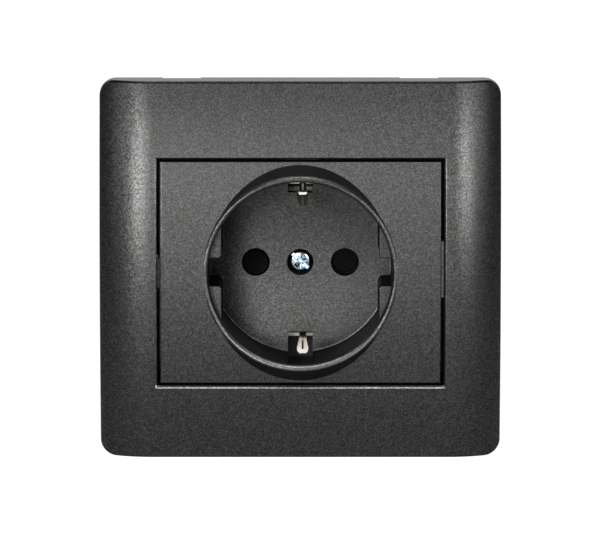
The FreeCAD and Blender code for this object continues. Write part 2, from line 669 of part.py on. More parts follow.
def centre_plate():
    body = bulged_block("centre_plate", PLATE_WIDTH, PLATE_HEIGHT, size("plate_rear"),
                        size("crest_height"))
    half_wide = number(PLATE_WIDTH) / 2
    half_tall = number(PLATE_HEIGHT) / 2
    rear = -number(size("plate_rear")) - 0.5

    def plate_rim(edge):
        middle = edge.CenterOfMass
        at_side = near(abs(middle.x), half_wide) or near(abs(middle.z), half_tall)
        return at_side and middle.y < rear and not along(edge, "y")

    dress(body, "Fillet", plate_rim, size("plate_round"))
    hollow = new_sketch(body, "XY")
    inside = word(PLATE_WIDTH, "/ 2 - Sizes.plate_wall")
    rectangle(hollow, "-" + inside, inside, "(Sizes.plate_wall - Sizes.crest_height)",
              "(1 - Sizes.plate_rear)")
    axis_line(hollow, ("-" + inside, BULGE_AXIS), (inside, BULGE_AXIS))
    turn(body, "Groove", hollow, "Axis0", "2 * asin((%s / 2 - Sizes.plate_wall) / (%s))"
         % (PLATE_HEIGHT, "Sizes.bulge_radius - Sizes.plate_wall"))
    mouth = new_sketch(body, "XZ")
    circle(mouth, "0", "0", "Sizes.well_radius + Sizes.cup_wall / 2")
    add_feature(body, "Pocket", mouth)
    cup = new_sketch(body, "XY")
    cup_profile(cup)
    turn(body, "Revolution", cup, "Axis0")
    keys = new_sketch(body, "XZ", "-(%s) - 0.2" % FLOOR_FRONT)
    for side in ("", "-"):
        for end in ("", "-"):
            key_segment(keys, side, end)
    add_feature(body, "Pad", keys, "Sizes.well_depth - Sizes.key_setback + 0.2")
    flat = number(size("key_flat"))
    notch = number(size("key_notch"))
    dress(body, "Fillet", lambda edge: along(edge, "y") and near(abs(edge.CenterOfMass.x), flat)
          and near(abs(edge.CenterOfMass.z), notch), size("key_round"))
    floor_level = number(FLOOR_FRONT)
    block_level = number(word(CREST, "+ Sizes.key_setback"))
    well = number(size("well_radius"))

    def floor_edge(edge):
        box_of = edge.BoundBox
        level = near(box_of.YMin, floor_level) and near(box_of.YMax, floor_level)
        return level and edge.Length > 0.5 and math.hypot(box_of.XMax, box_of.ZMax) > flat

    def block_edge(edge):
        box_of = edge.BoundBox
        level = near(box_of.YMin, block_level) and near(box_of.YMax, block_level)
        return level and not near(math.hypot(*edge.valueAt(edge.FirstParameter)[::2]), well)

    dress(body, "Fillet", floor_edge, size("floor_cove"))
    dress(body, "Fillet", block_edge, size("key_edge"))
    lugs = new_sketch(body, "XZ", size("plate_rear"))
    edge_x = word(PLATE_WIDTH, "/ 2 - 0.5")
    lug_x = word("Sizes.window_width / 2 - Sizes.layer_gap")
    rectangle(lugs, edge_x, lug_x, size("lug_low"), size("lug_high"))
    add_feature(body, "Pad", lugs, "Sizes.crest_height - Sizes.lug_front - Sizes.plate_rear")
    far_lug = new_sketch(body, "XZ", size("plate_rear"))
    rectangle(far_lug, "-" + edge_x, "-" + lug_x, "-" + size("lug_small"), size("lug_small"))
    add_feature(body, "Pad", far_lug, "Sizes.crest_height - Sizes.lug_deep - Sizes.plate_rear")
    boss = new_sketch(body, "XZ", "-(%s)" % BOSS_REAR)
    circle(boss, "0", "0", size("boss_radius"))
    add_feature(body, "Pad", boss, word(BOSS_REAR, "-", FLOOR_FRONT, "- Sizes.floor_thick / 2"))
    well_screw = new_sketch(body, "XZ", "-(%s) + 0.1" % FLOOR_FRONT)
    circle(well_screw, "0", "0", "Sizes.screw_window / 2")
    add_feature(body, "Pocket", well_screw, word(HEAD_REAR, "-", FLOOR_FRONT, "+ 0.1"), ahead=False)
    shank = new_sketch(body, "XZ", "-(%s) - 1" % BOSS_REAR)
    circle(shank, "0", "0", "Sizes.screw_diameter / 2 + 0.2")
    add_feature(body, "Pocket", shank, word(BOSS_REAR, "-", HEAD_REAR, "+ 2"))
    pins = new_sketch(body, "XZ", "-(%s) - 0.5" % FLOOR_REAR)
    circle(pins, PIN_X, "0", "Sizes.pin_window / 2")
    circle(pins, "-" + PIN_X, "0", "Sizes.pin_window / 2")
    add_feature(body, "Pocket", pins, "Sizes.floor_thick + 1")
    slots = new_sketch(body, "XZ", "-(%s) - 0.1" % FLOOR_REAR)
    for end in ("", "-"):
        rectangle(slots, "-Sizes.slot_width / 2", "Sizes.slot_width / 2", end + size("slot_start"),
                  end + word(CUP_RADIUS, "+ 0.05"))
    add_feature(body, "Pocket", slots, word(FLOOR_REAR, "+ 0.1 + Sizes.crest_height - Sizes.slot_top"))
    node("centre_plate", body)


# Turned pieces: screws, rivets and other solids of revolution

def turned(name, points, at=None, stand=None):
    """Turned about its own Y axis from points (radius, y), then placed."""
    body = new_body(name)
    sketch = new_sketch(body, "XY")
    outline(sketch, points)
    axis_line(sketch, ("0", points[0][1]), ("0", "(%s) + 1" % points[0][1]))
    turn(body, "Revolution", sketch, "Axis0")
    if stand:
        body.Placement = FreeCAD.Placement(FreeCAD.Vector(), stand)
    for letter, text in zip("xyz", at or ()):
        body.setExpression("Placement.Base." + letter, text)
    return body


def headed(head, tall, shank, length):
    """Half section of a headed fastener whose head seats at y = 0 and faces the room."""
    dome = "(0.85 * %s)" % head
    return [("0", "-(%s)" % tall), (dome, "-(%s)" % tall), (head, "-(0.65 * %s)" % tall), (head, "0"),
            (shank, "0"), (shank, "(%s) - 0.6 * (%s)" % (length, shank)),
            ("(0.6 * %s)" % shank, length), ("0", length)]


def driver_slot(screw, head, tall):
    """A straight slot across a screw head that faces the room before it is placed."""
    drive = new_sketch(screw, "XZ", tall + " + 0.1")
    rectangle(drive, "-" + head, head, "-0.09 * " + head, "0.09 * " + head)
    add_feature(screw, "Pocket", drive, "0.45 * %s + 0.1" % tall, ahead=False)


def centre_screw():
    profile = headed("(Sizes.screw_head / 2)", size("screw_head_tall"), "(Sizes.screw_diameter / 2)",
                     size("screw_length"))
    stopped = FreeCAD.Rotation(FreeCAD.Vector(0, 1, 0), number(size("drive_turn")))
    body = turned("centre_screw", profile, ("0", HEAD_REAR, "0"), stopped)
    drive = new_sketch(body, "XZ", "Sizes.screw_head_tall + 0.1")
    rectangle(drive, "-Sizes.screw_head", "Sizes.screw_head", "-Sizes.drive_slot / 2",
              "Sizes.drive_slot / 2")
    add_feature(body, "Pocket", drive, "Sizes.drive_deep + 0.1", ahead=False)
    cross = new_sketch(body, "XZ", "Sizes.screw_head_tall + 0.1")
    rectangle(cross, "-Sizes.drive_cross / 2", "Sizes.drive_cross / 2", "-Sizes.screw_head / 3",
              "Sizes.screw_head / 3")
    add_feature(body, "Pocket", cross, "Sizes.drive_deep + 0.4", ahead=False)
    node("centre_screw", body)


# Rotary shutter behind the pin holes, its cap and its return spring

def shutter():
    body = new_body("shutter")
    hub = new_sketch(body, "XZ", "-(%s)" % word(CAP_FRONT, "- Sizes.shutter_gap"))
    circle(hub, "0", "0", size("hub_radius"))
    add_feature(body, "Pad", hub, word(CAP_FRONT, "-", PAD_FRONT, "- Sizes.shutter_gap"))
    arms = new_sketch(body, "XZ", "-(%s)" % WEB_REAR)
    rectangle(arms, "-" + PIN_X, PIN_X, "-0.8 * Sizes.pad_skirt", "0.8 * Sizes.pad_skirt")
    add_feature(body, "Pad", arms, size("shutter_thick"))
    for radius, front in (("pad_skirt", WEB_FRONT), ("pad_radius", PAD_FRONT)):
        ends = new_sketch(body, "XZ", "-(%s)" % WEB_REAR)
        circle(ends, PIN_X, "0", size(radius))
        circle(ends, "-" + PIN_X, "0", size(radius))
        add_feature(body, "Pad", ends, word(WEB_REAR, "-", front))
    for side in ("", "-"):
        low, high = side + "(-Sizes.pad_skirt)", side + "Sizes.pad_skirt"
        slope = new_sketch(body, "YZ", side + PIN_X)
        outline(slope, [(word(PAD_FRONT, "- 0.2"), low), (word(PAD_FRONT, "+ Sizes.pad_slope"), low),
                        (PAD_FRONT, high), (word(PAD_FRONT, "- 0.2"), high)])
        add_feature(body, "Pocket", slope, "2 * Sizes.pad_radius + 1").Midplane = True
    pin = number(PIN_X)
    radius = number(size("pad_radius"))

    def pad_rim(edge):
        middle = edge.CenterOfMass
        tall = edge.BoundBox.ZLength
        return middle.y < number(WEB_FRONT) and near(tall, 2 * radius) and near(abs(middle.x), pin)

    dress(body, "Chamfer", pad_rim, size("pad_edge"))
    posts = new_sketch(body, "XZ", "-(%s)" % word(WEB_REAR, "+ Sizes.spring_space * 0.8"))
    circle(posts, POST_X, POST_Z, size("post_radius"))
    circle(posts, "-" + POST_X, "-" + POST_Z, size("post_radius"))
    add_feature(body, "Pad", posts, "Sizes.spring_space * 0.8 + Sizes.shutter_thick / 2")
    bearing = new_sketch(body, "XZ", "-(%s) - 1" % CAP_FRONT)
    circle(bearing, "0", "0", "Sizes.boss_radius + Sizes.hub_gap")
    add_feature(body, "Pocket", bearing)
    rest = FreeCAD.Rotation(FreeCAD.Vector(0, -1, 0), number(size("shutter_rest")))
    body.Placement = FreeCAD.Placement(FreeCAD.Vector(), rest)
    node("shutter", body)


def shutter_cap():
    body = new_body("shutter_cap")
    sketch = new_sketch(body, "XY")
    inside = "(Sizes.cap_radius - Sizes.cap_wall)"
    bore = "(Sizes.boss_radius + Sizes.hub_gap)"
    outline(sketch, [(inside, FLOOR_REAR), (size("cap_radius"), FLOOR_REAR),
                     (size("cap_radius"), CAP_REAR), (bore, CAP_REAR), (bore, CAP_FRONT),
                     (inside, CAP_FRONT)])
    axis_line(sketch, ("0", FLOOR_REAR), ("0", CAP_REAR))
    turn(body, "Revolution", sketch, "Axis0")
    stop = new_sketch(body, "XZ", "-(%s)" % word(CAP_FRONT, "+ Sizes.cap_wall / 2"))
    circle(stop, POST_X, "-" + POST_Z, size("post_radius"))
    add_feature(body, "Pad", stop, "Sizes.spring_space * 0.7 + Sizes.cap_wall / 2")
    holes = new_sketch(body, "XZ")
    circle(holes, PIN_X, "0", "Sizes.pin_window / 2 + 0.1")
    circle(holes, "-" + PIN_X, "0", "Sizes.pin_window / 2 + 0.1")
    add_feature(body, "Pocket", holes, ahead=False)
    node("shutter_cap", body)


def shutter_spring():
    """Torsion spring of one open turn whose ends bear on the posts of shutter and cap."""
    coil = number(size("spring_radius"))
    wire = number(size("spring_wire")) / 2
    level = number(word(WEB_REAR, "+ Sizes.spring_space * 0.45"))
    reach = number("Sizes.post_orbit + Sizes.post_radius")
    lean = math.asin((number(size("post_radius")) + wire + 0.05) / reach)
    still = -math.atan2(number(POST_Z), number(POST_X)) - lean
    start = math.radians(number(size("shutter_rest"))) - still

    def at(radius, angle):
        return FreeCAD.Vector(radius * math.cos(angle), level, radius * math.sin(angle))

    bend = Part.Wire([Part.Arc(at(coil, start), at(coil, math.pi), at(coil, still)).toShape()])
    tangent = at(1, start + math.pi / 2) - at(0, start)
    section = Part.Wire([Part.makeCircle(wire, at(coil, start), tangent)])
    limbs = []
    for angle in (start, still):
        heading = at(1, angle) - at(0, angle)
        limbs.append(Part.makeSphere(wire, at(coil, angle)))
        limbs.append(Part.makeCylinder(wire, reach - coil, at(coil, angle), heading))
    spring = doc.addObject("Part::Feature", "shutter_spring")
    spring.Shape = bend.makePipeShell([section], True, True).fuse(limbs)
    node("shutter_spring", spring)


# Socket insert

def terminal_places():
    """Cage axis as (name, x, z, side the screw comes from)."""
    return (("line", CLAMP_X, CLAMP_UP, ""), ("neutral", "-" + CLAMP_X, CLAMP_UP, ""),
            ("earth", "0", "-" + CLAMP_DOWN, "-"))


def insert_outline(sketch):
    wide, tall = "Sizes.base_half_wide", "Sizes.base_half_tall"
    in_x = "(Sizes.base_half_wide - Sizes.base_cut_wide)"
    in_z = "(Sizes.base_half_tall - Sizes.base_cut_tall)"
    outline(sketch, [(wide, "-" + in_z), (wide, in_z), (in_x, tall), ("-" + in_x, tall),
                     ("-" + wide, in_z), ("-" + wide, "-" + in_z), ("-" + in_x, "-" + tall),
                     (in_x, "-" + tall)])


def insert_base():
    body = new_body("insert_base")
    block = new_sketch(body, "XZ", "-(%s)" % BASE_REAR)
    insert_outline(block)
    add_feature(body, "Pad", block, size("base_depth"))
    dress(body, "Fillet", lambda edge: along(edge, "y"), size("base_round"))
    ribs = new_sketch(body, "XZ", "-(%s)" % word(BASE_REAR, "- 1"))
    cheek = CHEEK_OUTER + " + Sizes.guide_gap"
    for side in ("", "-"):
        for end in ("", "-"):
            rectangle(ribs, side + "(Sizes.base_half_wide - 1)",
                      side + "(Sizes.base_half_wide + Sizes.guide_reach)", end + "(%s)" % cheek,
                      end + "(%s + Sizes.guide_thick)" % cheek)
    add_feature(body, "Pad", ribs, "Sizes.base_depth - 3")
    aprons = new_sketch(body, "XZ", "-(%s) - 1" % STRAP_REAR)
    outer = "(Sizes.base_half_tall - Sizes.apron_inset)"
    for end in ("", "-"):
        rectangle(aprons, "-Sizes.apron_half_wide", "Sizes.apron_half_wide", end + outer,
                  end + word(outer, "- Sizes.apron_thick"))
    add_feature(body, "Pad", aprons, word(STRAP_REAR, "+ 1 - Sizes.apron_front"))
    bores = new_sketch(body, "XZ", "-(%s) + 1" % STRAP_REAR)
    for side in ("", "-"):
        circle(bores, side + PIN_X, "0", "Sizes.pin_bore / 2")
    add_feature(body, "Pocket", bores, "Sizes.pin_wall + 2", ahead=False)
    front = number(STRAP_REAR)
    pin = number(PIN_X)
    dress(body, "Chamfer", lambda edge: isinstance(edge.Curve, Part.Circle)
          and near(edge.CenterOfMass.y, front) and near(abs(edge.CenterOfMass.x), pin), size("pin_lead"))
    chambers = new_sketch(body, "XZ", "-(%s) - 1" % BASE_REAR)
    for side in ("", "-"):
        circle(chambers, side + PIN_X, "0", size("chamber_radius"))
    add_feature(body, "Pocket", chambers, "Sizes.base_depth - Sizes.pin_wall + 1")
    cages = new_sketch(body, "XZ", "-(%s) - 1" % BASE_REAR)
    half = "(Sizes.clamp_side / 2 + Sizes.chamber_gap)"
    for name, x_mid, z_mid, side in terminal_places():
        rectangle(cages, "%s - %s" % (x_mid, half), "%s + %s" % (x_mid, half),
                  "%s - %s" % (z_mid, half), "%s + %s" % (z_mid, half))
    add_feature(body, "Pocket", cages, word(BASE_REAR, "-", CLAMP_FRONT, "+ Sizes.chamber_gap + 1"))
    blades = new_sketch(body, "XZ", "-(%s) - 1" % BASE_REAR)
    for side in ("", "-"):
        rectangle(blades, side + word(BLADE_X, "- Sizes.chamber_gap"),
                  side + word(BLADE_X, "+ Sizes.tulip_wall + Sizes.chamber_gap"), "-1",
                  word(BLADE_TOP, "+ Sizes.chamber_gap"))
    add_feature(body, "Pocket", blades, word(BASE_REAR, "-", BLADE_FRONT, "+ Sizes.chamber_gap + 1"))
    shank = new_sketch(body, "XZ", "-(%s) + 1" % STRAP_REAR)
    circle(shank, "0", "0", "Sizes.screw_diameter / 2 + 0.4")
    add_feature(body, "Pocket", shank, word(HEAD_REAR, "+ Sizes.screw_length -", STRAP_REAR, "+ 2"),
                ahead=False)
    tongue = new_sketch(body, "XZ", "-(%s) + 1" % STRAP_REAR)
    rectangle(tongue, "-Sizes.tongue_width / 2 - Sizes.chamber_gap",
              "Sizes.tongue_width / 2 + Sizes.chamber_gap", word(TONGUE_Z, "- Sizes.chamber_gap"),
              word(TONGUE_Z, "+ Sizes.strap_thick + Sizes.chamber_gap"))
    add_feature(body, "Pocket", tongue, word(CLAMP_FRONT, "-", STRAP_REAR, "+ 2"), ahead=False)
    rivets = new_sketch(body, "XZ", "-(%s) + 1" % STRAP_REAR)
    for side in ("", "-"):
        for end in ("", "-"):
            circle(rivets, side + RIVET_X, end + RIVET_Z, "Sizes.rivet_shank + 0.05")
    add_feature(body, "Pocket", rivets, "Sizes.rivet_length + 1.3", ahead=False)
    screws = new_sketch(body, "XZ", "-(%s) - 1" % BASE_REAR)
    for side in ("", "-"):
        circle(screws, side + "Sizes.cover_screw_across", "-" + COVER_SCREW_DOWN,
               "Sizes.cover_screw / 2 + 0.05")
    add_feature(body, "Pocket", screws, "Sizes.cover_screw_length + 1")
    for end in ("", "-"):
        access = new_sketch(body, "XY", end + "(Sizes.base_half_tall + 1)")
        places = [item for item in terminal_places() if item[3] == end]
        for name, x_mid, z_mid, side in places:
            circle(access, x_mid, word(CLAMP_FRONT, "+ Sizes.clamp_deep / 2"),
                   "Sizes.cage_screw_head / 2 + 0.4")
        deep = CLAMP_UP if end == "" else CLAMP_DOWN
        add_feature(body, "Pocket", access, "Sizes.base_half_tall + 1 - %s - Sizes.clamp_side / 2"
                    % deep, ahead=bool(end))
    node("insert_base", body)


def rear_cover():
    body = new_body("rear_cover")
    plate = new_sketch(body, "XZ", "-(%s)" % COVER_REAR)
    insert_outline(plate)
    add_feature(body, "Pad", plate, size("cover_thick"))
    dress(body, "Fillet", lambda edge: along(edge, "y"), size("base_round"))
    holes = new_sketch(body, "XZ")
    for name, x_mid, z_mid, side in terminal_places():
        for way in ("+", "-"):
            step = " %s Sizes.wire_apart" % way
            x_hole, z_hole = (x_mid + step, z_mid) if side else (x_mid, z_mid + step)
            circle(holes, x_hole, z_hole, "Sizes.wire_hole / 2")
    for side in ("", "-"):
        circle(holes, side + "Sizes.cover_screw_across", "-" + COVER_SCREW_DOWN,
               "Sizes.cover_screw / 2 + 0.15")
    add_feature(body, "Pocket", holes, ahead=False)
    node("rear_cover", body)
    screws = []
    for side in ("", "-"):
        screw = turned("cover_screw", headed("(Sizes.cover_screw_head / 2)", size("cover_screw_tall"),
                                             "(Sizes.cover_screw / 2)",
                                             "(Sizes.cover_thick + Sizes.cover_screw_length - 0.5)"),
                       (side + "Sizes.cover_screw_across", COVER_REAR, "-" + COVER_SCREW_DOWN),
                       FreeCAD.Rotation(FreeCAD.Vector(0, 0, 1), 180))
        driver_slot(screw, size("cover_screw_head"), size("cover_screw_tall"))
        screws.append(screw)
    node("cover_screws", group("cover_screws", screws))


# Contacts, terminal cages and earth strap

def pin_contact(name, side):
    barrel = rod(name + "_barrel", "y", (side + PIN_X, TULIP_FRONT, "0"),
                 "Sizes.tulip_bore / 2 + Sizes.tulip_wall", size("tulip_length"))
    low, high = BLADE_X, word(BLADE_X, "+ Sizes.tulip_wall")
    if side:
        low, high = "-" + high, "-" + low
    blade = box(name + "_blade", low, high, BLADE_FRONT, word(CLAMP_FRONT, "- Sizes.chamber_gap"),
                "0", BLADE_TOP)
    tail = box(name + "_tail", low, high, word(CLAMP_FRONT, "- Sizes.chamber_gap - 0.1"),
               word(CLAMP_FRONT, "+ 0.75 * Sizes.clamp_deep"),
               word(CLAMP_UP, "- Sizes.clamp_side / 2 + Sizes.clamp_wall + 0.1"), BLADE_TOP)
    bore = rod(name + "_bore", "y", (side + PIN_X, word(TULIP_FRONT, "- 1"), "0"),
               "Sizes.tulip_bore / 2", "Sizes.tulip_length + 2")
    slit = box(name + "_slit", "%s%s - Sizes.tulip_slit / 2" % (side, PIN_X),
               "%s%s + Sizes.tulip_slit / 2" % (side, PIN_X), word(TULIP_FRONT, "- 1"),
               word(TULIP_FRONT, "+ 0.65 * Sizes.tulip_length"), "-5", "5")
    node(name, cut(name, fuse(name + "_sheet", [barrel, blade, tail]), [bore, slit]))


def contact_springs():
    clips = []
    for side in ("", "-"):
        inner = "(Sizes.tulip_bore / 2 + Sizes.tulip_wall + 0.02)"
        start = word(TULIP_FRONT, "+ 0.5")
        outer = rod("clip_outside", "y", (side + PIN_X, start, "0"), inner + " + Sizes.clip_wire",
                    size("clip_width"))
        inside = rod("clip_inside", "y", (side + PIN_X, word(start, "- 1"), "0"), inner,
                     "Sizes.clip_width + 2")
        gap = box("clip_gap", "%s%s - 0.5" % (side, PIN_X), "%s%s + 0.5" % (side, PIN_X),
                  word(start, "- 1"), word(start, "+ Sizes.clip_width + 1"), "-6", "0")
        clips.append(cut("clip", outer, [inside, gap]))
    node("contact_springs", group("contact_springs", clips))


def terminals():
    screws = []
    half = "Sizes.clamp_side / 2"
    inner = "(Sizes.clamp_side / 2 - Sizes.clamp_wall)"
    for name, x_mid, z_mid, side in terminal_places():
        label = name + "_terminal"
        cage = box(label + "_block", "%s - %s" % (x_mid, half), "%s + %s" % (x_mid, half), CLAMP_FRONT,
                   word(CLAMP_FRONT, "+ Sizes.clamp_deep"), "%s - %s" % (z_mid, half),
                   "%s + %s" % (z_mid, half))
        way = box(label + "_way", "%s - %s" % (x_mid, inner), "%s + %s" % (x_mid, inner),
                  word(CLAMP_FRONT, "- 1"), word(CLAMP_FRONT, "+ Sizes.clamp_deep + 1"),
                  "%s - %s" % (z_mid, inner), "%s + %s" % (z_mid, inner))
        middle = word(CLAMP_FRONT, "+ Sizes.clamp_deep / 2")
        low = z_mid if side == "" else "%s - Sizes.clamp_side" % z_mid
        hole = rod(label + "_hole", "z", (x_mid, middle, low), "Sizes.cage_screw / 2 + 0.05",
                   size("clamp_side"))
        node(label, cut(label, cage, [way, hole]))
        stand = FreeCAD.Rotation(FreeCAD.Vector(1, 0, 0), -90 if side == "" else 90)
        seat = "%s %s (%s + Sizes.cage_screw_stand)" % (z_mid, "-" if side else "+", half)
        screw = turned("terminal_screw", headed("(Sizes.cage_screw_head / 2)", size("cage_screw_tall"),
                                                "(Sizes.cage_screw / 2)",
                                                "(Sizes.clamp_side / 2 + Sizes.cage_screw_stand)"),
                       (x_mid, middle, seat), stand)
        driver_slot(screw, size("cage_screw_head"), size("cage_screw_tall"))
        screws.append(screw)
    node("terminal_screws", group("terminal_screws", screws))


def sheet_path(points, radius):
    """An open wire of straight runs joined by tangent arcs, in the plane x = 0."""
    spots = [FreeCAD.Vector(0, y, z) for y, z in points]
    edges = []
    start = spots[0]
    for i in range(1, len(spots) - 1):
        back = (spots[i - 1] - spots[i]).normalize()
        ahead = (spots[i + 1] - spots[i]).normalize()
        half = back.getAngle(ahead) / 2
        bend = radius[i - 1]
        reach = bend / math.tan(half)
        first = spots[i] + back * reach
        second = spots[i] + ahead * reach
        middle = spots[i] + (back + ahead).normalize() * (bend / math.sin(half) - bend)
        edges.append(Part.LineSegment(start, first).toShape())
        edges.append(Part.Arc(first, middle, second).toShape())
        start = second
    edges.append(Part.LineSegment(start, spots[-1]).toShape())
    return Part.Wire(edges)


def earth_strap():
    """One folded sheet: flat behind the recess floor, a split tongue at each end."""
    thick = number(size("strap_thick"))
    front = number(STRAP_FRONT)
    lip = number(CREST)
    root, crest, tip = (number(size(name)) for name in ("nose_root", "nose_crest", "nose_tip"))
    crest_y = lip + number(size("nose_crest_depth"))
    tip_y = lip + number(size("nose_tip_depth"))
    half = number(size("nose_thick")) / 2
    side = [(tip_y, tip - half), (crest_y, crest + half), (0.25 * front, root), (front + half, root),
            (front + half, 0)]
    bends = [number("Sizes.nose_%s_bend" % place) for place in ("tip", "long", "root")]
    tongue = sheet_path(side, bends)
    band = tongue.makeOffset2D(half, fill=False, openResult=True)
    back = tongue.makeOffset2D(-half, fill=False, openResult=True)
    ends = [(band.OrderedVertexes[0].Point, back.OrderedVertexes[0].Point),
            (band.OrderedVertexes[-1].Point, back.OrderedVertexes[-1].Point)]
    caps = [Part.LineSegment(*pair).toShape() for pair in ends]
    face = Part.Face(Part.Wire(Part.__sortEdges__(band.Edges + back.Edges + caps)))
    wide = number(size("strap_width"))
    shift = number(size("nose_shift"))
    face.translate(FreeCAD.Vector(-wide, 0, 0))
    ribbon = face.extrude(FreeCAD.Vector(2 * wide, 0, 0))
    broad, slim = number(size("nose_wide")) / 2, number(size("nose_narrow")) / 2
    past, closed = number(size("nose_reach")), number(size("nose_closed"))
    flare = [(slim, front - past), (slim, crest_y + past), (1.15 * slim, crest_y - 2 * past),
             (0.86 * broad, tip_y + 2.4 * closed), (broad, tip_y + 1.3 * closed),
             (0.9 * broad, tip_y + 0.45 * closed), (0.45 * broad, tip_y - past)]
    far = front + 4 * thick
    mask = [(wide / 2, far), (wide / 2, front - past)] + [(shift + u, v) for u, v in flare]
    mask += [(shift - u, v) for u, v in reversed(flare)]
    mask += [(-wide / 2, front - past), (-wide / 2, far)]
    plan = Part.makePolygon([FreeCAD.Vector(x, y, -1) for x, y in mask + mask[:1]])
    tongue_shape = ribbon.common(Part.Face(plan).extrude(FreeCAD.Vector(0, 0, 2 * root)))
    slit_wide = number(size("nose_slit"))
    slit = Part.makeBox(slit_wide, 0.7 * (front - tip_y), 2 * root,
                        FreeCAD.Vector(shift - slit_wide / 2, tip_y + closed, 1))
    tongue_shape = tongue_shape.cut(slit)
    other = tongue_shape.mirror(FreeCAD.Vector(), FreeCAD.Vector(0, 0, 1))
    flat = Part.makeBox(wide, thick, 2 * (root - 1), FreeCAD.Vector(-wide / 2, front, 1 - root))
    leg_wide = number(size("tongue_width"))
    leg = Part.makeBox(leg_wide, number(CLAMP_FRONT) + number("0.75 * Sizes.clamp_deep") - front, thick,
                       FreeCAD.Vector(-leg_wide / 2, front, number(TONGUE_Z)))
    strip = tongue_shape.fuse([other, flat, leg])
    hole = Part.makeCylinder(number("Sizes.screw_diameter / 2 + 0.05"), 3 * thick,
                             FreeCAD.Vector(0, front - thick, 0), FreeCAD.Vector(0, 1, 0))
    strap = doc.addObject("Part::Feature", "earth_strap")
    strap.Shape = strip.cut(hole).removeSplitter()
    node("earth_strap", strap)


# Support ring with its feet and rivets

def support_ring():
    body = new_body("support_ring")
    plate = new_sketch(body, "XZ")
    centred(plate, RING_WIDE, RING_TALL)
    add_feature(body, "Pad", plate, size("ring_thick"))
    dress(body, "Chamfer", lambda edge: along(edge, "y"), size("ring_corner"))
    dress(body, "Fillet", lambda edge: along(edge, "y"), "Sizes.ring_corner / 5")
    opening = new_sketch(body, "XZ")
    circle(opening, "0", "0", RING_BORE)
    add_feature(body, "Pocket", opening)
    relief = new_sketch(body, "XZ")
    rectangle(relief, "-Sizes.foot_far - 1", "Sizes.foot_far + 1", "-" + FOOT_Z, FOOT_Z)
    add_feature(body, "Pocket", relief)
    legs = new_sketch(body, "XZ")
    feet = new_sketch(body, "XZ", "-(%s)" % STRAP_REAR)
    for side in ("", "-"):
        for end in ("", "-"):
            low, high = side + size("foot_near"), side + size("foot_far")
            far = end + word(FOOT_Z, "+ Sizes.ring_thick")
            rectangle(legs, low, high, end + FOOT_Z, far)
            rectangle(feet, low, high, end + word(FOOT_Z, "+ Sizes.ring_thick - Sizes.foot_length"), far)
    add_feature(body, "Pad", legs, STRAP_REAR, ahead=False)
    add_feature(body, "Pad", feet, size("ring_thick"))
    heel = number(STRAP_REAR)
    dress(body, "Fillet", lambda edge: along(edge, "x") and near(edge.CenterOfMass.y, heel)
          and abs(edge.CenterOfMass.z) > number(RING_BORE), size("ring_thick"))
    holes = new_sketch(body, "XZ")
    for side in ("", "-"):
        circle(holes, side + "Sizes.fixing_pitch / 2", "0", "Sizes.fixing_hole / 2")
        circle(holes, side + "Sizes.claw_screw_across", "0", "Sizes.claw_screw_diameter / 2 + 0.15")
    add_feature(body, "Pocket", holes)
    slots = new_sketch(body, "XZ")
    for end in ("", "-"):
        rectangle(slots, "-Sizes.fixing_slot / 2", "Sizes.fixing_slot / 2",
                  end + "(Sizes.fixing_pitch / 2 - Sizes.fixing_hole / 2)",
                  end + "(Sizes.fixing_pitch / 2 + Sizes.fixing_hole / 2)")
    add_feature(body, "Pocket", slots)
    rivets = new_sketch(body, "XZ", "-(%s) - 1" % STRAP_REAR)
    for side in ("", "-"):
        for end in ("", "-"):
            circle(rivets, side + RIVET_X, end + RIVET_Z, "Sizes.rivet_shank + 0.05")
    add_feature(body, "Pocket", rivets, "Sizes.ring_thick + 2")
    node("support_ring", body)


def ring_rivets():
    rivets = []
    for side in ("", "-"):
        for end in ("", "-"):
            profile = headed(size("rivet_head"), size("rivet_tall"), size("rivet_shank"),
                             "(Sizes.rivet_length + Sizes.ring_thick)")
            seat = (side + RIVET_X, word(STRAP_REAR, "- Sizes.ring_thick"), end + RIVET_Z)
            rivets.append(turned("ring_rivet", profile, seat))
    node("ring_rivets", group("ring_rivets", rivets))


# Spreading claws and their screws

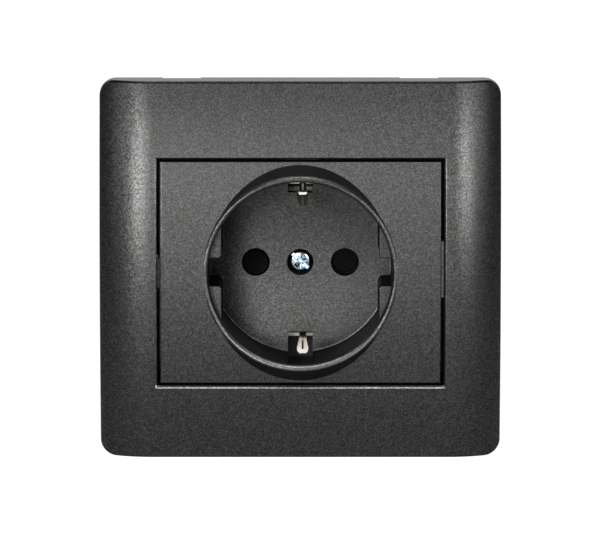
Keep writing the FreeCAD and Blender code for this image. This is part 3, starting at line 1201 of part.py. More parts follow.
def claw(name, side):
    body = new_body(name)
    inner = "(Sizes.claw_screw_across - Sizes.claw_screw_diameter / 2 - Sizes.claw_gap)"
    web = "(Sizes.claw_screw_across + Sizes.claw_screw_diameter / 2 + Sizes.claw_gap / 4)"
    back = "(Sizes.claw_screw_across + Sizes.claw_screw_diameter / 2 + Sizes.claw_gap / 4 + Sizes.claw_sheet)"
    heel = "(Sizes.claw_foot + Sizes.claw_sheet / 2)"
    front = "Sizes.claw_front"
    profile = new_sketch(body, "XY")
    outline(profile, [(side + inner, front + " + 2"), (side + web, front),
                      (side + word(back, "+ Sizes.claw_spur"), front + " + 0.6"),
                      (side + back, front + " + 2.8"),
                      (side + word(back, "+ 0.8 * Sizes.claw_spur"), front + " + 3.6"),
                      (side + back, front + " + 5.6"), (side + back, heel), (side + inner, heel)])
    sheet_pad = add_feature(body, "Pad", profile, word("2 *", CHEEK_OUTER))
    sheet_pad.Midplane = True
    channel = new_sketch(body, "XY")
    outline(channel, [(side + word(inner, "- 2"), front + " - 2"), (side + word(back, "+ 4"), front + " - 2"),
                      (side + word(back, "+ 4"), front + " + 5.8"), (side + web, front + " + 5.8"),
                      (side + web, "Sizes.claw_foot - Sizes.claw_sheet / 2"),
                      (side + word(inner, "- 2"), "Sizes.claw_foot - Sizes.claw_sheet / 2")])
    hollow = add_feature(body, "Pocket", channel, "2 * (%s - Sizes.claw_sheet)" % CHEEK_OUTER)
    hollow.Midplane = True
    slot = new_sketch(body, "XZ", "-Sizes.claw_foot - Sizes.claw_sheet")
    middle = side + "Sizes.claw_screw_across"
    rectangle(slot, middle + " - Sizes.claw_slot / 2", middle + " + Sizes.claw_slot / 2",
              "-Sizes.claw_screw_diameter / 2 - 0.2", "Sizes.claw_screw_diameter / 2 + 0.2")
    add_feature(body, "Pocket", slot, "2 * Sizes.claw_sheet")
    node(name, body)


def claw_screws():
    screws = []
    for side in ("", "-"):
        screw = turned("claw_screw", headed("(Sizes.claw_screw_head / 2)", size("claw_screw_tall"),
                                            "(Sizes.claw_screw_diameter / 2)",
                                            "Sizes.claw_screw_length"),
                       (side + "Sizes.claw_screw_across", "-Sizes.ring_thick", "0"))
        driver_slot(screw, size("claw_screw_head"), size("claw_screw_tall"))
        screws.append(screw)
    node("claw_screws", group("claw_screws", screws))


# Build all pieces

frame_shell()
frame_carrier()
centre_plate()
centre_screw()
shutter()
shutter_cap()
shutter_spring()
insert_base()
rear_cover()
pin_contact("line_contact", "")
pin_contact("neutral_contact", "-")
contact_springs()
terminals()
earth_strap()
support_ring()
ring_rivets()
claw("claw_right", "")
claw("claw_left", "-")
claw_screws()
doc.recompute()

failed = [item.Name for item in doc.Objects if "Invalid" in item.State or "Error" in item.State]
if failed:
    raise RuntimeError("not rebuilt: " + ", ".join(failed))
for name, thing in NODES.items():
    if thing.Shape.isNull() or not thing.Shape.isValid():
        raise RuntimeError("no valid shape: " + name)

os.makedirs("parts", exist_ok=True)
for name, thing in NODES.items():
    thing.Shape.exportStep("parts/%s.step" % name)
    print("%-18s %d solid(s) %9.1f mm3" % (name, len(thing.Shape.Solids), thing.Shape.Volume))
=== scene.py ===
import math

import bpy
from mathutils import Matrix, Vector


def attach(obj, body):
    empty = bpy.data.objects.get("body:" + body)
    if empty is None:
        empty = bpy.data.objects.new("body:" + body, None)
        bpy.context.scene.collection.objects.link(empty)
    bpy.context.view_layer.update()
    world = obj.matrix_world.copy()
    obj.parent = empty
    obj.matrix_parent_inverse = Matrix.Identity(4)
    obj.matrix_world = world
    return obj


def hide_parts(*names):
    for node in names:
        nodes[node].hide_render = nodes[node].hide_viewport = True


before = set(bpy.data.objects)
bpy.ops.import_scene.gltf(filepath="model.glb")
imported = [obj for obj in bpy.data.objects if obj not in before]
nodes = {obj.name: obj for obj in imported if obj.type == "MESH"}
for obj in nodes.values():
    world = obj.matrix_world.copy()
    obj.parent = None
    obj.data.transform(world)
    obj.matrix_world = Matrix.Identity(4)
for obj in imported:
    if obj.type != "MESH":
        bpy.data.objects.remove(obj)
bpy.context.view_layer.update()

# Earthed wall socket, dressed for its portrait: anthracite flake paint on the front, bare dark
# moulding in the recess, plated screws, nickel earth contacts and brass terminals

MM = 0.001

# Bands of the CAD pieces that carry painted highlights, painted shade and turned normals, in metres. X
# and Z are counted from the socket axis, Y from the wall.

SILL_RIGHT = (0.03045, 0.0309)
SILL_LEFT = (-0.0307, -0.0304)
SILL_LOW = (0.0242, 0.0248)
SILL_HALF_WIDE = 0.0307
SILL_HALF_TALL = 0.0245
# Colour gain of the painted highlight on the sill below the window
SILL_HIGHLIGHT_GAIN = 6.5
# Band and colour gain of the painted shade line under the frame's top edge
TOP_LINE = (0.0398, 0.0402)
TOP_LINE_SHADE_GAIN = 0.22
FRAME_SIDE = (0.0419, 0.0421)
FRAME_END = (0.0397, 0.0399)
PLATE_LEFT = (-0.02965, -0.0292)
PLATE_HALF_TALL = 0.0233
# Band and colour gain of the painted shade behind the plate's upright seams
SEAM_SHADE_BAND = (0.0293, 0.0309)
SEAM_SHADE_GAIN = 0.04
LIP_CREST = (0.0196, 0.0208)
# Band of the painted highlight on the lower lip
LIP_HIGHLIGHT_BAND = (0.0195, 0.0209)
LIP_FRONT = -0.0125
LIP_OUTER = 0.02085
COLLAR_OUTER = 0.0232
SCREW_HOLE = 0.00283
# Depth behind which the recess floor gets its painted shade
RECESS_FLOOR = 0.0
PAD_OFF_AXIS = 0.0095
PAD_HOLLOW = 22.0
# Colour gains of the painted shade on the left pad and the painted highlight on the right pad
PAD_LEFT_SHADE_GAIN = 0.3
PAD_RIGHT_HIGHLIGHT_GAIN = 5.0


# Camera: long lens a little above the socket, as in the photograph

LOOK_DOWN = math.radians(8.6)
STAND_OFF = 1.600
LENS_PER_METRE = 284.3
AIM_UP = 1.55 * MM
AIM_SIDE = -0.06 * MM
RIM = Vector((0, -14.6, 0)) * MM


def set_up_camera():
    bpy.ops.object.camera_add()
    camera = bpy.context.object
    camera.name = "portrait_camera"
    camera.data.sensor_width = 36
    camera.data.lens = LENS_PER_METRE * STAND_OFF
    back = Vector((0, -math.cos(LOOK_DOWN), math.sin(LOOK_DOWN)))
    up = Vector((0, math.sin(LOOK_DOWN), math.cos(LOOK_DOWN)))
    aim = RIM + up * AIM_UP + Vector((AIM_SIDE, 0, 0))
    camera.location = aim + back * STAND_OFF
    camera.rotation_mode = "QUATERNION"
    camera.rotation_quaternion = (-back).to_track_quat("-Z", "Y")
    camera.data.clip_start = 0.01
    camera.data.clip_end = 20
    bpy.context.scene.camera = camera


# Soft lights, each as name, azimuth, elevation, distance, width and height of its panel and power

LAMPS = [
    ("left_softbox", -21, 10, 1.2, 0.24, 0.36, 6.2),
    ("right_softbox", 28, 11, 1.2, 0.24, 0.36, 4.7),
    ("centre_softbox", -9, 13, 1.2, 0.2, 0.2, 0.7),
    ("left_fill", -50, 14, 1.2, 0.4, 0.4, 0.9),
    ("right_fill", 50, 18, 1.2, 0.4, 0.4, 1.0),
    ("low_softbox", -6, -8, 1.2, 0.5, 0.1, 0.6),
    ("high_softbox", -6, 67, 1.2, 0.7, 0.35, 3.4),
    ("overhead_softbox", 0, 84, 1.2, 0.6, 0.5, 5.2),
    ("rear_softbox", 0, 105, 1.2, 0.6, 0.3, 0.8),
]


def set_up_lamps():
    for name, azimuth, elevation, distance, width, height, power in LAMPS:
        a, e = math.radians(azimuth), math.radians(elevation)
        away = Vector((math.sin(a) * math.cos(e), -math.cos(a) * math.cos(e), math.sin(e)))
        bpy.ops.object.light_add(type="AREA")
        lamp = bpy.context.object
        lamp.name = name
        lamp.data.shape = "RECTANGLE"
        lamp.data.size = width
        lamp.data.size_y = height
        lamp.data.energy = power
        lamp.location = RIM + away * distance
        lamp.rotation_mode = "QUATERNION"
        lamp.rotation_quaternion = (-away).to_track_quat("-Z", "Y")


# Node helpers

def add(tree, kind, inputs=None, **settings):
    """A shader node with its settings, and its inputs set or linked."""
    made = tree.nodes.new("ShaderNode" + kind)
    for key, value in settings.items():
        setattr(made, key, value)
    for key, value in (inputs or {}).items():
        if isinstance(value, bpy.types.NodeSocket):
            tree.links.new(value, made.inputs[key])
        else:
            made.inputs[key].default_value = value
    return made


def reckon(tree, operation, *values):
    return add(tree, "Math", dict(enumerate(values)), operation=operation).outputs[0]


def times(tree, first, second):
    return reckon(tree, "MULTIPLY", first, second)


def plus(tree, first, second):
    return reckon(tree, "ADD", first, second)


def higher(tree, first, second):
    return reckon(tree, "MAXIMUM", first, second)


def scaled(tree, vector, factor):
    return add(tree, "VectorMath", {0: vector, "Scale": factor}, operation="SCALE").outputs[0]


def unit_vector(tree, vector):
    return add(tree, "VectorMath", {0: vector}, operation="NORMALIZE").outputs[0]


def ramp(tree, value, low, high, start=0.0, end=1.0):
    """A smooth step from start to end while the value goes from low to high."""
    step = add(tree, "MapRange", {"Value": value, "From Min": low, "From Max": high,
                                  "To Min": start, "To Max": end}, interpolation_type="SMOOTHSTEP")
    return step.outputs["Result"]


def blend(tree, factor, first, second, kind="RGBA"):
    return add(tree, "Mix", {"Factor": factor, "A": first, "B": second}, data_type=kind).outputs["Result"]


def coordinate(tree, axis):
    """X, Y or Z of the place on the piece, in metres."""
    place = add(tree, "TexCoord").outputs["Object"]
    return add(tree, "SeparateXYZ", {"Vector": place}).outputs[axis]


def facing(tree, axis):
    """How far the surface faces along an axis, from -1 to 1."""
    normal = add(tree, "TexCoord").outputs["Normal"]
    return add(tree, "SeparateXYZ", {"Vector": normal}).outputs[axis]


# White room: white behind the socket, dim in front of it but for the lamps

ROOM_LIGHT = 0.02
BACK_LIGHT = 0.7


def set_up_room():
    world = bpy.data.worlds.new("white_room")
    bpy.context.scene.world = world
    world.use_nodes = True
    tree = world.node_tree
    tree.nodes.clear()
    rays = add(tree, "LightPath")
    heading = add(tree, "TexCoord").outputs["Generated"]
    behind = add(tree, "SeparateXYZ", {"Vector": heading}).outputs["Y"]
    lit = ramp(tree, behind, 0.15, 0.75, ROOM_LIGHT, BACK_LIGHT)
    mirrored = ramp(tree, behind, 0.15, 0.75, ROOM_LIGHT, 1.0)
    glossy = times(tree, rays.outputs["Is Glossy Ray"], mirrored)
    seen = higher(tree, rays.outputs["Is Camera Ray"], rays.outputs["Is Transmission Ray"])
    strength = higher(tree, higher(tree, lit, glossy), seen)
    light = add(tree, "Background", {"Color": (1, 1, 1, 1), "Strength": strength})
    out = tree.nodes.new("ShaderNodeOutputWorld")
    tree.links.new(light.outputs[0], out.inputs["Surface"])
    bpy.ops.mesh.primitive_plane_add(size=6, location=(0, 0, -0.25))
    floor = bpy.context.object
    floor.name = "studio_floor"
    paint = bpy.data.materials.new("white_floor")
    paint.use_nodes = True
    tree = paint.node_tree
    shader = tree.nodes["Principled BSDF"]
    shader.inputs["Base Color"].default_value = (0.25, 0.25, 0.25, 1)
    shader.inputs["Roughness"].default_value = 0.8
    shader.inputs["Emission Color"].default_value = (1, 1, 1, 1)
    rays = add(tree, "LightPath")
    beyond = ramp(tree, coordinate(tree, "Y"), 0.0, 0.4)
    glossy = times(tree, rays.outputs["Is Glossy Ray"], beyond)
    seen = higher(tree, rays.outputs["Is Camera Ray"], rays.outputs["Is Transmission Ray"])
    tree.links.new(higher(tree, seen, glossy), shader.inputs["Emission Strength"])
    floor.data.materials.append(paint)


# Shared effects

def new_group(name, inputs, outputs):
    group = bpy.data.node_groups.new(name, "ShaderNodeTree")
    for label, kind, value in inputs:
        socket = group.interface.new_socket(name=label, in_out="INPUT", socket_type="NodeSocket" + kind)
        socket.default_value = value
    for label, kind in outputs:
        group.interface.new_socket(name=label, in_out="OUTPUT", socket_type="NodeSocket" + kind)
    return group, group.nodes.new("NodeGroupInput").outputs, group.nodes.new("NodeGroupOutput").inputs


def flake_group():
    """Flakes in paint: each has its own shade and lies a little out of level."""
    group, given, put = new_group("paint_flakes", [
        ("Scale", "Float", 4700), ("Tilt", "Float", 0.05), ("Binder", "Color", (0.05, 0.05, 0.05, 1)),
        ("Flake", "Color", (0.15, 0.15, 0.15, 1))], [("Color", "Color"), ("Normal", "Vector")])
    place = add(group, "TexCoord").outputs["Object"]
    cells = add(group, "TexVoronoi", {"Vector": place, "Scale": given["Scale"]}).outputs["Color"]
    shade = add(group, "SeparateColor", {"Color": cells}).outputs["Red"]
    skewed = reckon(group, "POWER", shade, 1.6)
    cloud = add(group, "TexNoise", {"Vector": place, "Scale": 900, "Detail": 3}).outputs["Fac"]
    factor = times(group, skewed, ramp(group, cloud, 0.3, 0.7, 0.93, 1.07))
    group.links.new(blend(group, factor, given["Binder"], given["Flake"]), put["Color"])
    lean = add(group, "VectorMath", {0: cells, 1: (0.5, 0.5, 0.5)}, operation="SUBTRACT").outputs[0]
    level = add(group, "NewGeometry").outputs["Normal"]
    turned = add(group, "VectorMath", {0: level, 1: scaled(group, lean, given["Tilt"])}, operation="ADD")
    group.links.new(unit_vector(group, turned.outputs[0]), put["Normal"])
    return group


def moulding_group():
    """Skin of a moulding: faint flow clouds, fine eroded grain and an uneven sheen."""
    group, given, put = new_group("moulded_skin", [
        ("Grain", "Float", 5000), ("Colour", "Color", (0.03, 0.03, 0.03, 1)),
        ("Cloud", "Color", (0.04, 0.04, 0.04, 1)), ("Dull", "Float", 0.5), ("Shine", "Float", 0.38)],
        [("Color", "Color"), ("Roughness", "Float"), ("Height", "Float")])
    place = add(group, "TexCoord").outputs["Object"]
    cloud = add(group, "TexNoise", {"Vector": place, "Scale": 160, "Detail": 4}).outputs["Fac"]
    grain = add(group, "TexNoise", {"Vector": place, "Scale": given["Grain"], "Detail": 2}).outputs["Fac"]
    tint = plus(group, times(group, cloud, 0.6), times(group, grain, 0.4))
    clouded = blend(group, ramp(group, tint, 0.35, 0.65), given["Colour"], given["Cloud"])
    group.links.new(clouded, put["Color"])
    sheen = add(group, "MapRange", {"Value": cloud, "From Min": 0.3, "From Max": 0.7,
                                    "To Min": given["Shine"], "To Max": given["Dull"]})
    group.links.new(sheen.outputs["Result"], put["Roughness"])
    group.links.new(grain, put["Height"])
    return group


def plating_group():
    """Skin of a plated or bright sheet: patches, drawing lines and small dull spots."""
    group, given, put = new_group("plated_skin", [
        ("Line", "Vector", (1, 1, 1)), ("Colour", "Color", (0.6, 0.6, 0.6, 1)),
        ("Patch", "Color", (0.5, 0.5, 0.5, 1)), ("Bright", "Float", 0.25), ("Dull", "Float", 0.45)],
        [("Color", "Color"), ("Roughness", "Float"), ("Height", "Float")])
    place = add(group, "TexCoord").outputs["Object"]
    blots = add(group, "TexNoise", {"Vector": place, "Scale": 420, "Detail": 4, "Distortion": 0.4})
    patch = blots.outputs["Fac"]
    drawn = add(group, "VectorMath", {0: place, 1: given["Line"]}, operation="MULTIPLY").outputs[0]
    lines = add(group, "TexNoise", {"Vector": drawn, "Scale": 2600, "Detail": 2}).outputs["Fac"]
    spots = add(group, "TexVoronoi", {"Vector": place, "Scale": 700}).outputs["Distance"]
    patched = blend(group, ramp(group, patch, 0.38, 0.62), given["Colour"], given["Patch"])
    group.links.new(patched, put["Color"])
    wear = higher(group, ramp(group, spots, 0.12, 0.02), times(group, lines, 0.8))
    dull = add(group, "MapRange", {"Value": wear, "To Min": given["Bright"], "To Max": given["Dull"]})
    group.links.new(dull.outputs["Result"], put["Roughness"])
    group.links.new(lines, put["Height"])
    return group


FLAKES = flake_group()
MOULDING = moulding_group()
PLATING = plating_group()


# Materials

def new_material(name):
    material = bpy.data.materials.new(name)
    material.use_nodes = True
    return material, material.node_tree, material.node_tree.nodes["Principled BSDF"]


def place_group(tree, group, values):
    used = tree.nodes.new("ShaderNodeGroup")
    used.node_tree = group
    for key, value in values.items():
        used.inputs[key].default_value = value
    return used.outputs


def bump(tree, height, strength, distance):
    raised = add(tree, "Bump", {"Height": height, "Strength": strength, "Distance": distance})
    return raised.outputs["Normal"]


PAINT_FLAKES = {"Scale": 4700, "Tilt": 0.06, "Binder": (0.050, 0.0492, 0.0483, 1),
                "Flake": (0.146, 0.1437, 0.1412, 1)}
BARE = {"Grain": 4200, "Colour": (0.0065, 0.0064, 0.0062, 1), "Cloud": (0.0095, 0.0093, 0.009, 1),
        "Dull": 0.62, "Shine": 0.52}
PAINT_METAL = 0.95
PAINT_ROUGH = 0.375


def painted(name, cover, light_gain, edges):
    """Flake paint where cover(tree) is one and the bare moulding where it is nought. The third function's
    value scales the paint's colour to paint highlights and shade on it, and edges(tree) is added to the
    normal."""
    material, tree, shader = new_material(name)
    shader.inputs["Specular IOR Level"].default_value = 0.05
    paint = place_group(tree, FLAKES, PAINT_FLAKES)
    bare = place_group(tree, MOULDING, BARE)
    mask = cover(tree)
    # The paint's colour scaled for painted highlight and painted shade
    colour = scaled(tree, paint["Color"], light_gain(tree))
    tree.links.new(blend(tree, mask, bare["Color"], colour), shader.inputs["Base Color"])
    tree.links.new(times(tree, mask, PAINT_METAL), shader.inputs["Metallic"])
    tree.links.new(blend(tree, mask, bare["Roughness"], PAINT_ROUGH, "FLOAT"), shader.inputs["Roughness"])
    skin = blend(tree, mask, bump(tree, bare["Height"], 0.15, 0.00002), paint["Normal"], "VECTOR")
    turned = add(tree, "VectorMath", {0: skin, 1: edges(tree)}, operation="ADD").outputs[0]
    tree.links.new(unit_vector(tree, turned), shader.inputs["Normal"])
    return material


def band(tree, value, limits, soft=0.00008):
    """One between two values, with soft ends."""
    low, high = limits
    above = ramp(tree, value, low - soft, low + soft)
    return times(tree, above, ramp(tree, value, high + soft, high - soft))


def within(tree, axis, limit):
    return reckon(tree, "LESS_THAN", reckon(tree, "ABSOLUTE", coordinate(tree, axis)), limit)


def axis_distance(tree):
    x, z = coordinate(tree, "X"), coordinate(tree, "Z")
    return reckon(tree, "SQRT", plus(tree, times(tree, x, x), times(tree, z, z)))


def side_sill(tree, limits):
    """The broken edge on one side of the window."""
    return times(tree, band(tree, coordinate(tree, "X"), limits), within(tree, "Z", SILL_HALF_TALL))


def low_sill(tree):
    """The broken edge below the window."""
    down = times(tree, coordinate(tree, "Z"), -1.0)
    return times(tree, band(tree, down, SILL_LOW), within(tree, "X", SILL_HALF_WIDE))


def lip_mask(tree, limits):
    """The lip's front between two distances from the axis."""
    in_front = reckon(tree, "LESS_THAN", coordinate(tree, "Y"), LIP_FRONT)
    return times(tree, band(tree, axis_distance(tree), limits), in_front)


def frame_edges(tree):
    """Turns the normal on the window's broken edge after the photograph: a stronger light line
    to its right and below it, a fainter one to its left."""
    right = times(tree, side_sill(tree, SILL_RIGHT), -0.3)
    left = times(tree, side_sill(tree, SILL_LEFT), -0.6)
    low = times(tree, low_sill(tree), 0.75)
    return add(tree, "CombineXYZ", {"X": plus(tree, right, left), "Z": low}).outputs[0]


def plate_edges(tree):
    """Turns the normal on the plate's left edge and on the lower lip for their light lines."""
    left = times(tree, band(tree, coordinate(tree, "X"), PLATE_LEFT), within(tree, "Z", PLATE_HALF_TALL))
    fuller = ramp(tree, coordinate(tree, "Z"), -0.019, -0.007, 0.42, 0.05)
    return add(tree, "CombineXYZ", {"X": times(tree, left, -0.3),
                                    "Z": times(tree, lip_mask(tree, LIP_CREST), fuller)}).outputs[0]


def frame_painted_light(tree):
    """Painted highlight and painted shade on the frame: the sill below the window lighter and a line
    under the top edge darker, by scaling the paint's colour."""
    sill = add(tree, "MapRange", {"Value": low_sill(tree), "To Min": 1.0, "To Max": SILL_HIGHLIGHT_GAIN})
    line = band(tree, coordinate(tree, "Z"), TOP_LINE, 0.0001)
    return times(tree, sill.outputs["Result"], ramp(tree, line, 0.0, 1.0, 1.0, TOP_LINE_SHADE_GAIN))


def plate_painted_light(tree):
    """Painted shade on the recess floor, lighter below and darker in its left corner, and a painted
    highlight on the lower lip."""
    x, z = coordinate(tree, "X"), coordinate(tree, "Z")
    sunk = reckon(tree, "GREATER_THAN", coordinate(tree, "Y"), RECESS_FLOOR)
    lower, corner = ramp(tree, z, -0.010, 0.014, 1.38, 0.62), ramp(tree, x, -0.0165, -0.008, 0.2, 1.0)
    # Painted shade over the recess floor
    floor_shade = times(tree, lower, corner)
    # Painted highlight on the lower lip
    lip = times(tree, lip_mask(tree, LIP_HIGHLIGHT_BAND), ramp(tree, z, -0.019, -0.006, 0.85, 0.0))
    return plus(tree, blend(tree, sunk, 1.0, floor_shade, "FLOAT"), lip)


def frame_cover(tree):
    """On the frame the front and the four outer sides are painted, not the inside."""
    front = ramp(tree, facing(tree, "Y"), -0.02, -0.12)
    side = ramp(tree, reckon(tree, "ABSOLUTE", coordinate(tree, "X")), *FRAME_SIDE)
    end = ramp(tree, reckon(tree, "ABSOLUTE", coordinate(tree, "Z")), *FRAME_END)
    return higher(tree, front, higher(tree, side, end))


def plate_cover(tree):
    """On the plate only faces towards the room are painted, not the collar and the recess walls."""
    out = times(tree, facing(tree, "Y"), -1.0)
    radius = axis_distance(tree)
    past_lip = reckon(tree, "GREATER_THAN", radius, LIP_OUTER)
    past_collar = reckon(tree, "GREATER_THAN", radius, COLLAR_OUTER)
    inner = blend(tree, past_lip, ramp(tree, out, 0.25, 0.5), ramp(tree, out, 0.90, 0.95), "FLOAT")
    shell = blend(tree, past_collar, inner, ramp(tree, out, 0.05, 0.15), "FLOAT")
    return times(tree, shell, reckon(tree, "GREATER_THAN", radius, SCREW_HOLE))


def moulded(name, colour, cloud, dull, shine, grain=5000, relief=0.12, glint=0.4):
    material, tree, shader = new_material(name)
    shader.inputs["Specular IOR Level"].default_value = glint
    skin = place_group(tree, MOULDING, {"Grain": grain, "Colour": (*colour, 1), "Cloud": (*cloud, 1),
                                        "Dull": dull, "Shine": shine})
    tree.links.new(skin["Color"], shader.inputs["Base Color"])
    tree.links.new(skin["Roughness"], shader.inputs["Roughness"])
    tree.links.new(bump(tree, skin["Height"], relief, 0.00003), shader.inputs["Normal"])
    return material


def plated(name, colour, patch, bright, dull, line=(1, 1, 1), relief=0.1):
    material, tree, shader = new_material(name)
    skin = place_group(tree, PLATING, {"Line": line, "Colour": (*colour, 1), "Patch": (*patch, 1),
                                       "Bright": bright, "Dull": dull})
    tree.links.new(skin["Color"], shader.inputs["Base Color"])
    tree.links.new(skin["Roughness"], shader.inputs["Roughness"])
    shader.inputs["Metallic"].default_value = 1
    tree.links.new(bump(tree, skin["Height"], relief, 0.00002), shader.inputs["Normal"])
    return material


def rescale_colour(tree, factor):
    """Scales the colour that a material has so far."""
    shader = tree.nodes["Principled BSDF"]
    skin = shader.inputs["Base Color"].links[0].from_socket
    tree.links.new(scaled(tree, skin, factor), shader.inputs["Base Color"])


def dish_pads_with_painted_light(tree):
    """Shades both pads hollow through the normal, and paints the right pad lighter as a painted highlight
    and the left one darker as painted shade.
    """
    shader = tree.nodes["Principled BSDF"]
    x, z = coordinate(tree, "X"), coordinate(tree, "Z")
    off = reckon(tree, "SUBTRACT", reckon(tree, "ABSOLUTE", x), PAD_OFF_AXIS)
    square = plus(tree, times(tree, off, off), times(tree, z, z))
    skin = shader.inputs["Normal"].links[0].from_socket
    hollow = add(tree, "Bump", {"Height": times(tree, square, PAD_HOLLOW), "Normal": skin,
                                "Strength": 1.0, "Distance": 1.0})
    tree.links.new(hollow.outputs["Normal"], shader.inputs["Normal"])
    # Painted shade on the left pad, painted highlight on the right
    rescale_colour(tree, ramp(tree, x, -0.002, 0.002, PAD_LEFT_SHADE_GAIN, PAD_RIGHT_HIGHLIGHT_GAIN))


def paint_seam_shade(tree):
    """Painted shade: blackens the fronts that show through the plate's upright seams."""
    across = reckon(tree, "ABSOLUTE", coordinate(tree, "X"))
    strip = times(tree, band(tree, across, SEAM_SHADE_BAND), ramp(tree, facing(tree, "Y"), -0.3, -0.6))
    rescale_colour(tree, ramp(tree, strip, 0.0, 1.0, 1.0, SEAM_SHADE_GAIN))


# Both paints carry painted highlights and painted shade through their colour gains
FRAME_PAINT = painted("anthracite_frame", frame_cover, frame_painted_light, frame_edges)
PLATE_PAINT = painted("anthracite_plate", plate_cover, plate_painted_light, plate_edges)
CARRIER = moulded("dark_carrier", (0.045, 0.045, 0.046), (0.06, 0.06, 0.061), 0.55, 0.42)
SHUTTER = moulded("black_shutter", (0.0009, 0.0009, 0.0010), (0.0016, 0.0016, 0.0017), 0.42, 0.30,
                  glint=0.028)
INSERT = moulded("black_insert", (0.012, 0.012, 0.012), (0.022, 0.021, 0.020), 0.5, 0.33, 3200, 0.2)
COVER = moulded("grey_rear_cover", (0.30, 0.30, 0.31), (0.36, 0.36, 0.365), 0.55, 0.42, 4200, 0.15)
BLUE_ZINC = plated("blue_zinc", (0.40, 0.54, 0.68), (0.60, 0.68, 0.72), 0.14, 0.28)
STEEL = plated("galvanised_sheet", (0.55, 0.56, 0.58), (0.66, 0.67, 0.68), 0.3, 0.5, (0.15, 1, 1), 0.15)
SPRING = plated("spring_steel", (0.45, 0.45, 0.46), (0.56, 0.56, 0.57), 0.22, 0.38)
BRASS = plated("terminal_brass", (0.72, 0.52, 0.24), (0.60, 0.42, 0.19), 0.24, 0.42, (1, 0.2, 1))
NICKEL = plated("nickel_contact", (0.66, 0.62, 0.54), (0.56, 0.53, 0.46), 0.24, 0.38, (1, 0.2, 0.2))

# Painted shade and highlight on the shutter pads
dish_pads_with_painted_light(SHUTTER.node_tree)
# Painted shade behind the plate's upright seams on the sheet and the carrier
for backing in (STEEL, CARRIER):
    paint_seam_shade(backing.node_tree)


def dress(thing, material):
    thing.data.materials.clear()
    thing.data.materials.append(material)


def dress_all():
    finishes = {
        "cover_frame": FRAME_PAINT, "centre_plate": PLATE_PAINT, "frame_carrier": CARRIER,
        "centre_screw": BLUE_ZINC, "shutter": SHUTTER, "shutter_cap": SHUTTER, "shutter_spring": SPRING,
        "insert_base": INSERT, "rear_cover": COVER, "cover_screws": BLUE_ZINC, "line_contact": BRASS,
        "neutral_contact": BRASS, "contact_springs": SPRING, "line_terminal": BRASS,
        "neutral_terminal": BRASS, "earth_terminal": BRASS, "terminal_screws": BLUE_ZINC,
        "earth_strap": NICKEL, "support_ring": STEEL, "ring_rivets": STEEL, "claw_right": STEEL,
        "claw_left": STEEL, "claw_screws": BLUE_ZINC,
    }
    for name, material in finishes.items():
        dress(nodes[name], material)


# Screws: one machine screw modelled standing on its seat, head up, then copied to its places

def pick_faces(thing, wanted):
    """In edit mode, only the faces whose middle and normal pass the test."""
    bpy.ops.mesh.select_mode(type="FACE")
    bpy.ops.mesh.select_all(action="DESELECT")
    bpy.ops.object.mode_set(mode="OBJECT")
    for face in thing.data.polygons:
        face.select = wanted(face.center, face.normal)
    bpy.ops.object.mode_set(mode="EDIT")


def pick(thing):
    """This piece alone is selected and active."""
    bpy.ops.object.select_all(action="DESELECT")
    thing.select_set(True)
    bpy.context.view_layer.objects.active = thing


def apply_place(thing):
    pick(thing)
    bpy.ops.object.transform_apply(location=True, rotation=True, scale=True)


def carve(thing, cutter):
    """Takes the cutter out of a piece."""
    apply_place(cutter)
    pick(thing)
    cut = thing.modifiers.new("drive", "BOOLEAN")
    cut.object = cutter
    cut.solver = "EXACT"
    bpy.ops.object.modifier_apply(modifier=cut.name)
    bpy.data.objects.remove(cutter)


def screw_head(diameter, tall):
    """Pan head: rolled rim above and below, and a shallow dome."""
    bpy.ops.object.select_all(action="DESELECT")
    bpy.ops.mesh.primitive_cylinder_add(vertices=64, radius=diameter / 2, depth=0.93 * tall,
                                        location=(0, 0, 0.465 * tall))
    head = bpy.context.object
    apply_place(head)
    bpy.ops.object.mode_set(mode="EDIT")
    pick_faces(head, lambda middle, normal: normal.z < -0.9)
    bpy.ops.mesh.bevel(offset=0.06 * tall, segments=2, affect="EDGES")
    pick_faces(head, lambda middle, normal: normal.z > 0.9)
    bpy.ops.mesh.bevel(offset=0.38 * tall, segments=6, affect="EDGES")
    for inset, rise in ((0.05, 0.030), (0.09, 0.024), (0.12, 0.016)):
        pick_faces(head, lambda middle, normal: normal.z > 0.9 and middle.xy.length < 0.02 * diameter)
        bpy.ops.mesh.inset(thickness=inset * diameter, depth=rise * tall)
    bpy.ops.object.mode_set(mode="OBJECT")
    return head


def cut_slot(head, diameter, tall, wide, deep):
    bpy.ops.object.select_all(action="DESELECT")
    bpy.ops.mesh.primitive_cube_add(size=1, location=(0, 0, tall))
    slot = bpy.context.object
    slot.scale = (1.4 * diameter, wide, 2 * deep)
    carve(head, slot)


def cut_cross(head, diameter, tall, wide, deep):
    """A cross recess of tapered blades, with four fine lines between its arms."""
    for turn in (0, 90):
        bpy.ops.object.select_all(action="DESELECT")
        bpy.ops.mesh.primitive_cone_add(vertices=4, radius1=0.13 * diameter, radius2=0.62 * diameter,
                                        depth=deep + 0.2 * tall, location=(0, 0, 0),
                                        rotation=(0, 0, math.radians(45)))
        blade = bpy.context.object
        apply_place(blade)
        blade.scale = (1, wide / (0.6 * diameter), 1)
        blade.rotation_euler.z = math.radians(turn)
        blade.location.z = tall - deep / 2 + 0.1 * tall
        carve(head, blade)
    for turn in (45, 135):
        bpy.ops.object.select_all(action="DESELECT")
        bpy.ops.mesh.primitive_cube_add(size=1, location=(0, 0, tall))
        line = bpy.context.object
        line.scale = (0.74 * diameter, 0.045 * diameter, 0.26 * tall)
        line.rotation_euler.z = math.radians(turn)
        carve(head, line)


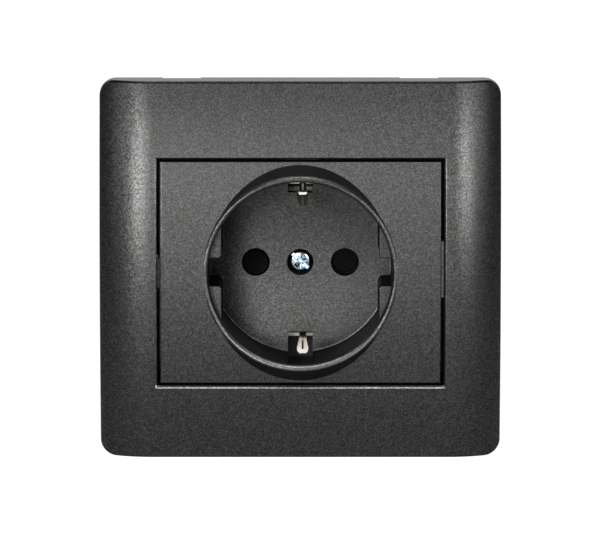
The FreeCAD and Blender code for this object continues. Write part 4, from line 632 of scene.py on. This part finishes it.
def screw_thread(diameter, length, pitch):
    """Core with a chamfered end, and the ridge wound round it."""
    bpy.ops.object.select_all(action="DESELECT")
    bpy.ops.mesh.primitive_cylinder_add(vertices=32, radius=diameter / 2 - 0.55 * pitch, depth=length,
                                        location=(0, 0, -length / 2))
    core = bpy.context.object
    apply_place(core)
    bpy.ops.object.mode_set(mode="EDIT")
    pick_faces(core, lambda middle, normal: normal.z < -0.9)
    bpy.ops.mesh.bevel(offset=0.2 * diameter, segments=1, affect="EDGES")
    bpy.ops.object.mode_set(mode="OBJECT")
    bpy.ops.object.select_all(action="DESELECT")
    tip = 0.5 * pitch
    bpy.ops.mesh.primitive_circle_add(vertices=3, radius=tip, fill_type="NOTHING", location=(0, 0, 0),
                                      rotation=(math.pi / 2, math.pi / 2, 0))
    ridge = bpy.context.object
    apply_place(ridge)
    ridge.location = (diameter / 2 - tip, 0, -length + 0.2 * diameter + pitch)
    apply_place(ridge)
    wind = ridge.modifiers.new("thread", "SCREW")
    wind.axis = "Z"
    wind.angle = 2 * math.pi
    wind.screw_offset = pitch
    wind.iterations = max(1, int((length - 0.2 * diameter - 2.2 * pitch) / pitch))
    wind.steps = 20
    wind.render_steps = 20
    bpy.ops.object.modifier_apply(modifier=wind.name)
    bpy.ops.object.mode_set(mode="EDIT")
    bpy.ops.mesh.select_all(action="SELECT")
    bpy.ops.mesh.fill_holes(sides=4)
    bpy.ops.mesh.select_all(action="SELECT")
    bpy.ops.mesh.normals_make_consistent(inside=False)
    bpy.ops.object.mode_set(mode="OBJECT")
    return core, ridge


def join(parts, name):
    bpy.ops.object.select_all(action="DESELECT")
    for part in parts:
        part.select_set(True)
    bpy.context.view_layer.objects.active = parts[0]
    if len(parts) > 1:
        bpy.ops.object.join()
    whole = bpy.context.object
    whole.name = name
    return whole


def machine_screw(head, tall, thread, length, pitch, slot, cross=0.0):
    top = screw_head(head * MM, tall * MM)
    cut_slot(top, head * MM, tall * MM, slot * MM, 0.4 * tall * MM)
    if cross:
        cut_cross(top, head * MM, tall * MM, cross * MM, 0.62 * tall * MM)
    return join([top, *screw_thread(thread * MM, length * MM, pitch * MM)], "screw")


TO_ROOM, TO_WALL, UP, DOWN = (math.pi / 2, 0), (-math.pi / 2, 0), (0, 0), (math.pi, 0)


def set_screws(node, screw, places, finish):
    """Copies of a screw at its seats: x, y and z of the seat, way of the head, turn of the slot."""
    copies = []
    for seat, (tip, roll), turn in places:
        pick(screw)
        bpy.ops.object.duplicate()
        copy = bpy.context.object
        copy.rotation_euler = (0, 0, math.radians(turn))
        apply_place(copy)
        copy.rotation_euler = (tip, roll, 0)
        copy.location = Vector(seat) * MM
        apply_place(copy)
        copies.append(copy)
    whole = join(copies, node + "_threaded")
    bpy.ops.object.shade_smooth_by_angle(angle=math.radians(32))
    dress(whole, finish)
    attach(whole, "socket")
    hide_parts(node)
    bpy.data.objects.remove(screw)


def make_screws():
    set_screws("centre_screw", machine_screw(4.6, 1.8, 3.0, 14, 0.5, 0.8, 0.85),
               [((0, 5.8, 0), TO_ROOM, -42)], BLUE_ZINC)
    set_screws("claw_screws", machine_screw(4.6, 1.7, 3.0, 27, 0.5, 0.83),
               [((24.6, -1.0, 0), TO_ROOM, 12), ((-24.6, -1.0, 0), TO_ROOM, -8)], BLUE_ZINC)
    set_screws("cover_screws", machine_screw(4.0, 1.4, 2.2, 7.3, 0.45, 0.72),
               [((13.5, 28.9, -14.5), TO_WALL, 24), ((-13.5, 28.9, -14.5), TO_WALL, -52)], BLUE_ZINC)
    set_screws("terminal_screws", machine_screw(5.4, 2.2, 3.4, 4.4, 0.6, 0.97),
               [((14.65, 21.5, 16.4), UP, 15), ((-14.65, 21.5, 16.4), UP, -20),
                ((0, 21.5, -19.4), DOWN, 8)], BLUE_ZINC)


set_up_camera()
set_up_lamps()
set_up_room()
dress_all()
make_screws()

scene = bpy.context.scene
scene.view_settings.view_transform = "Standard"
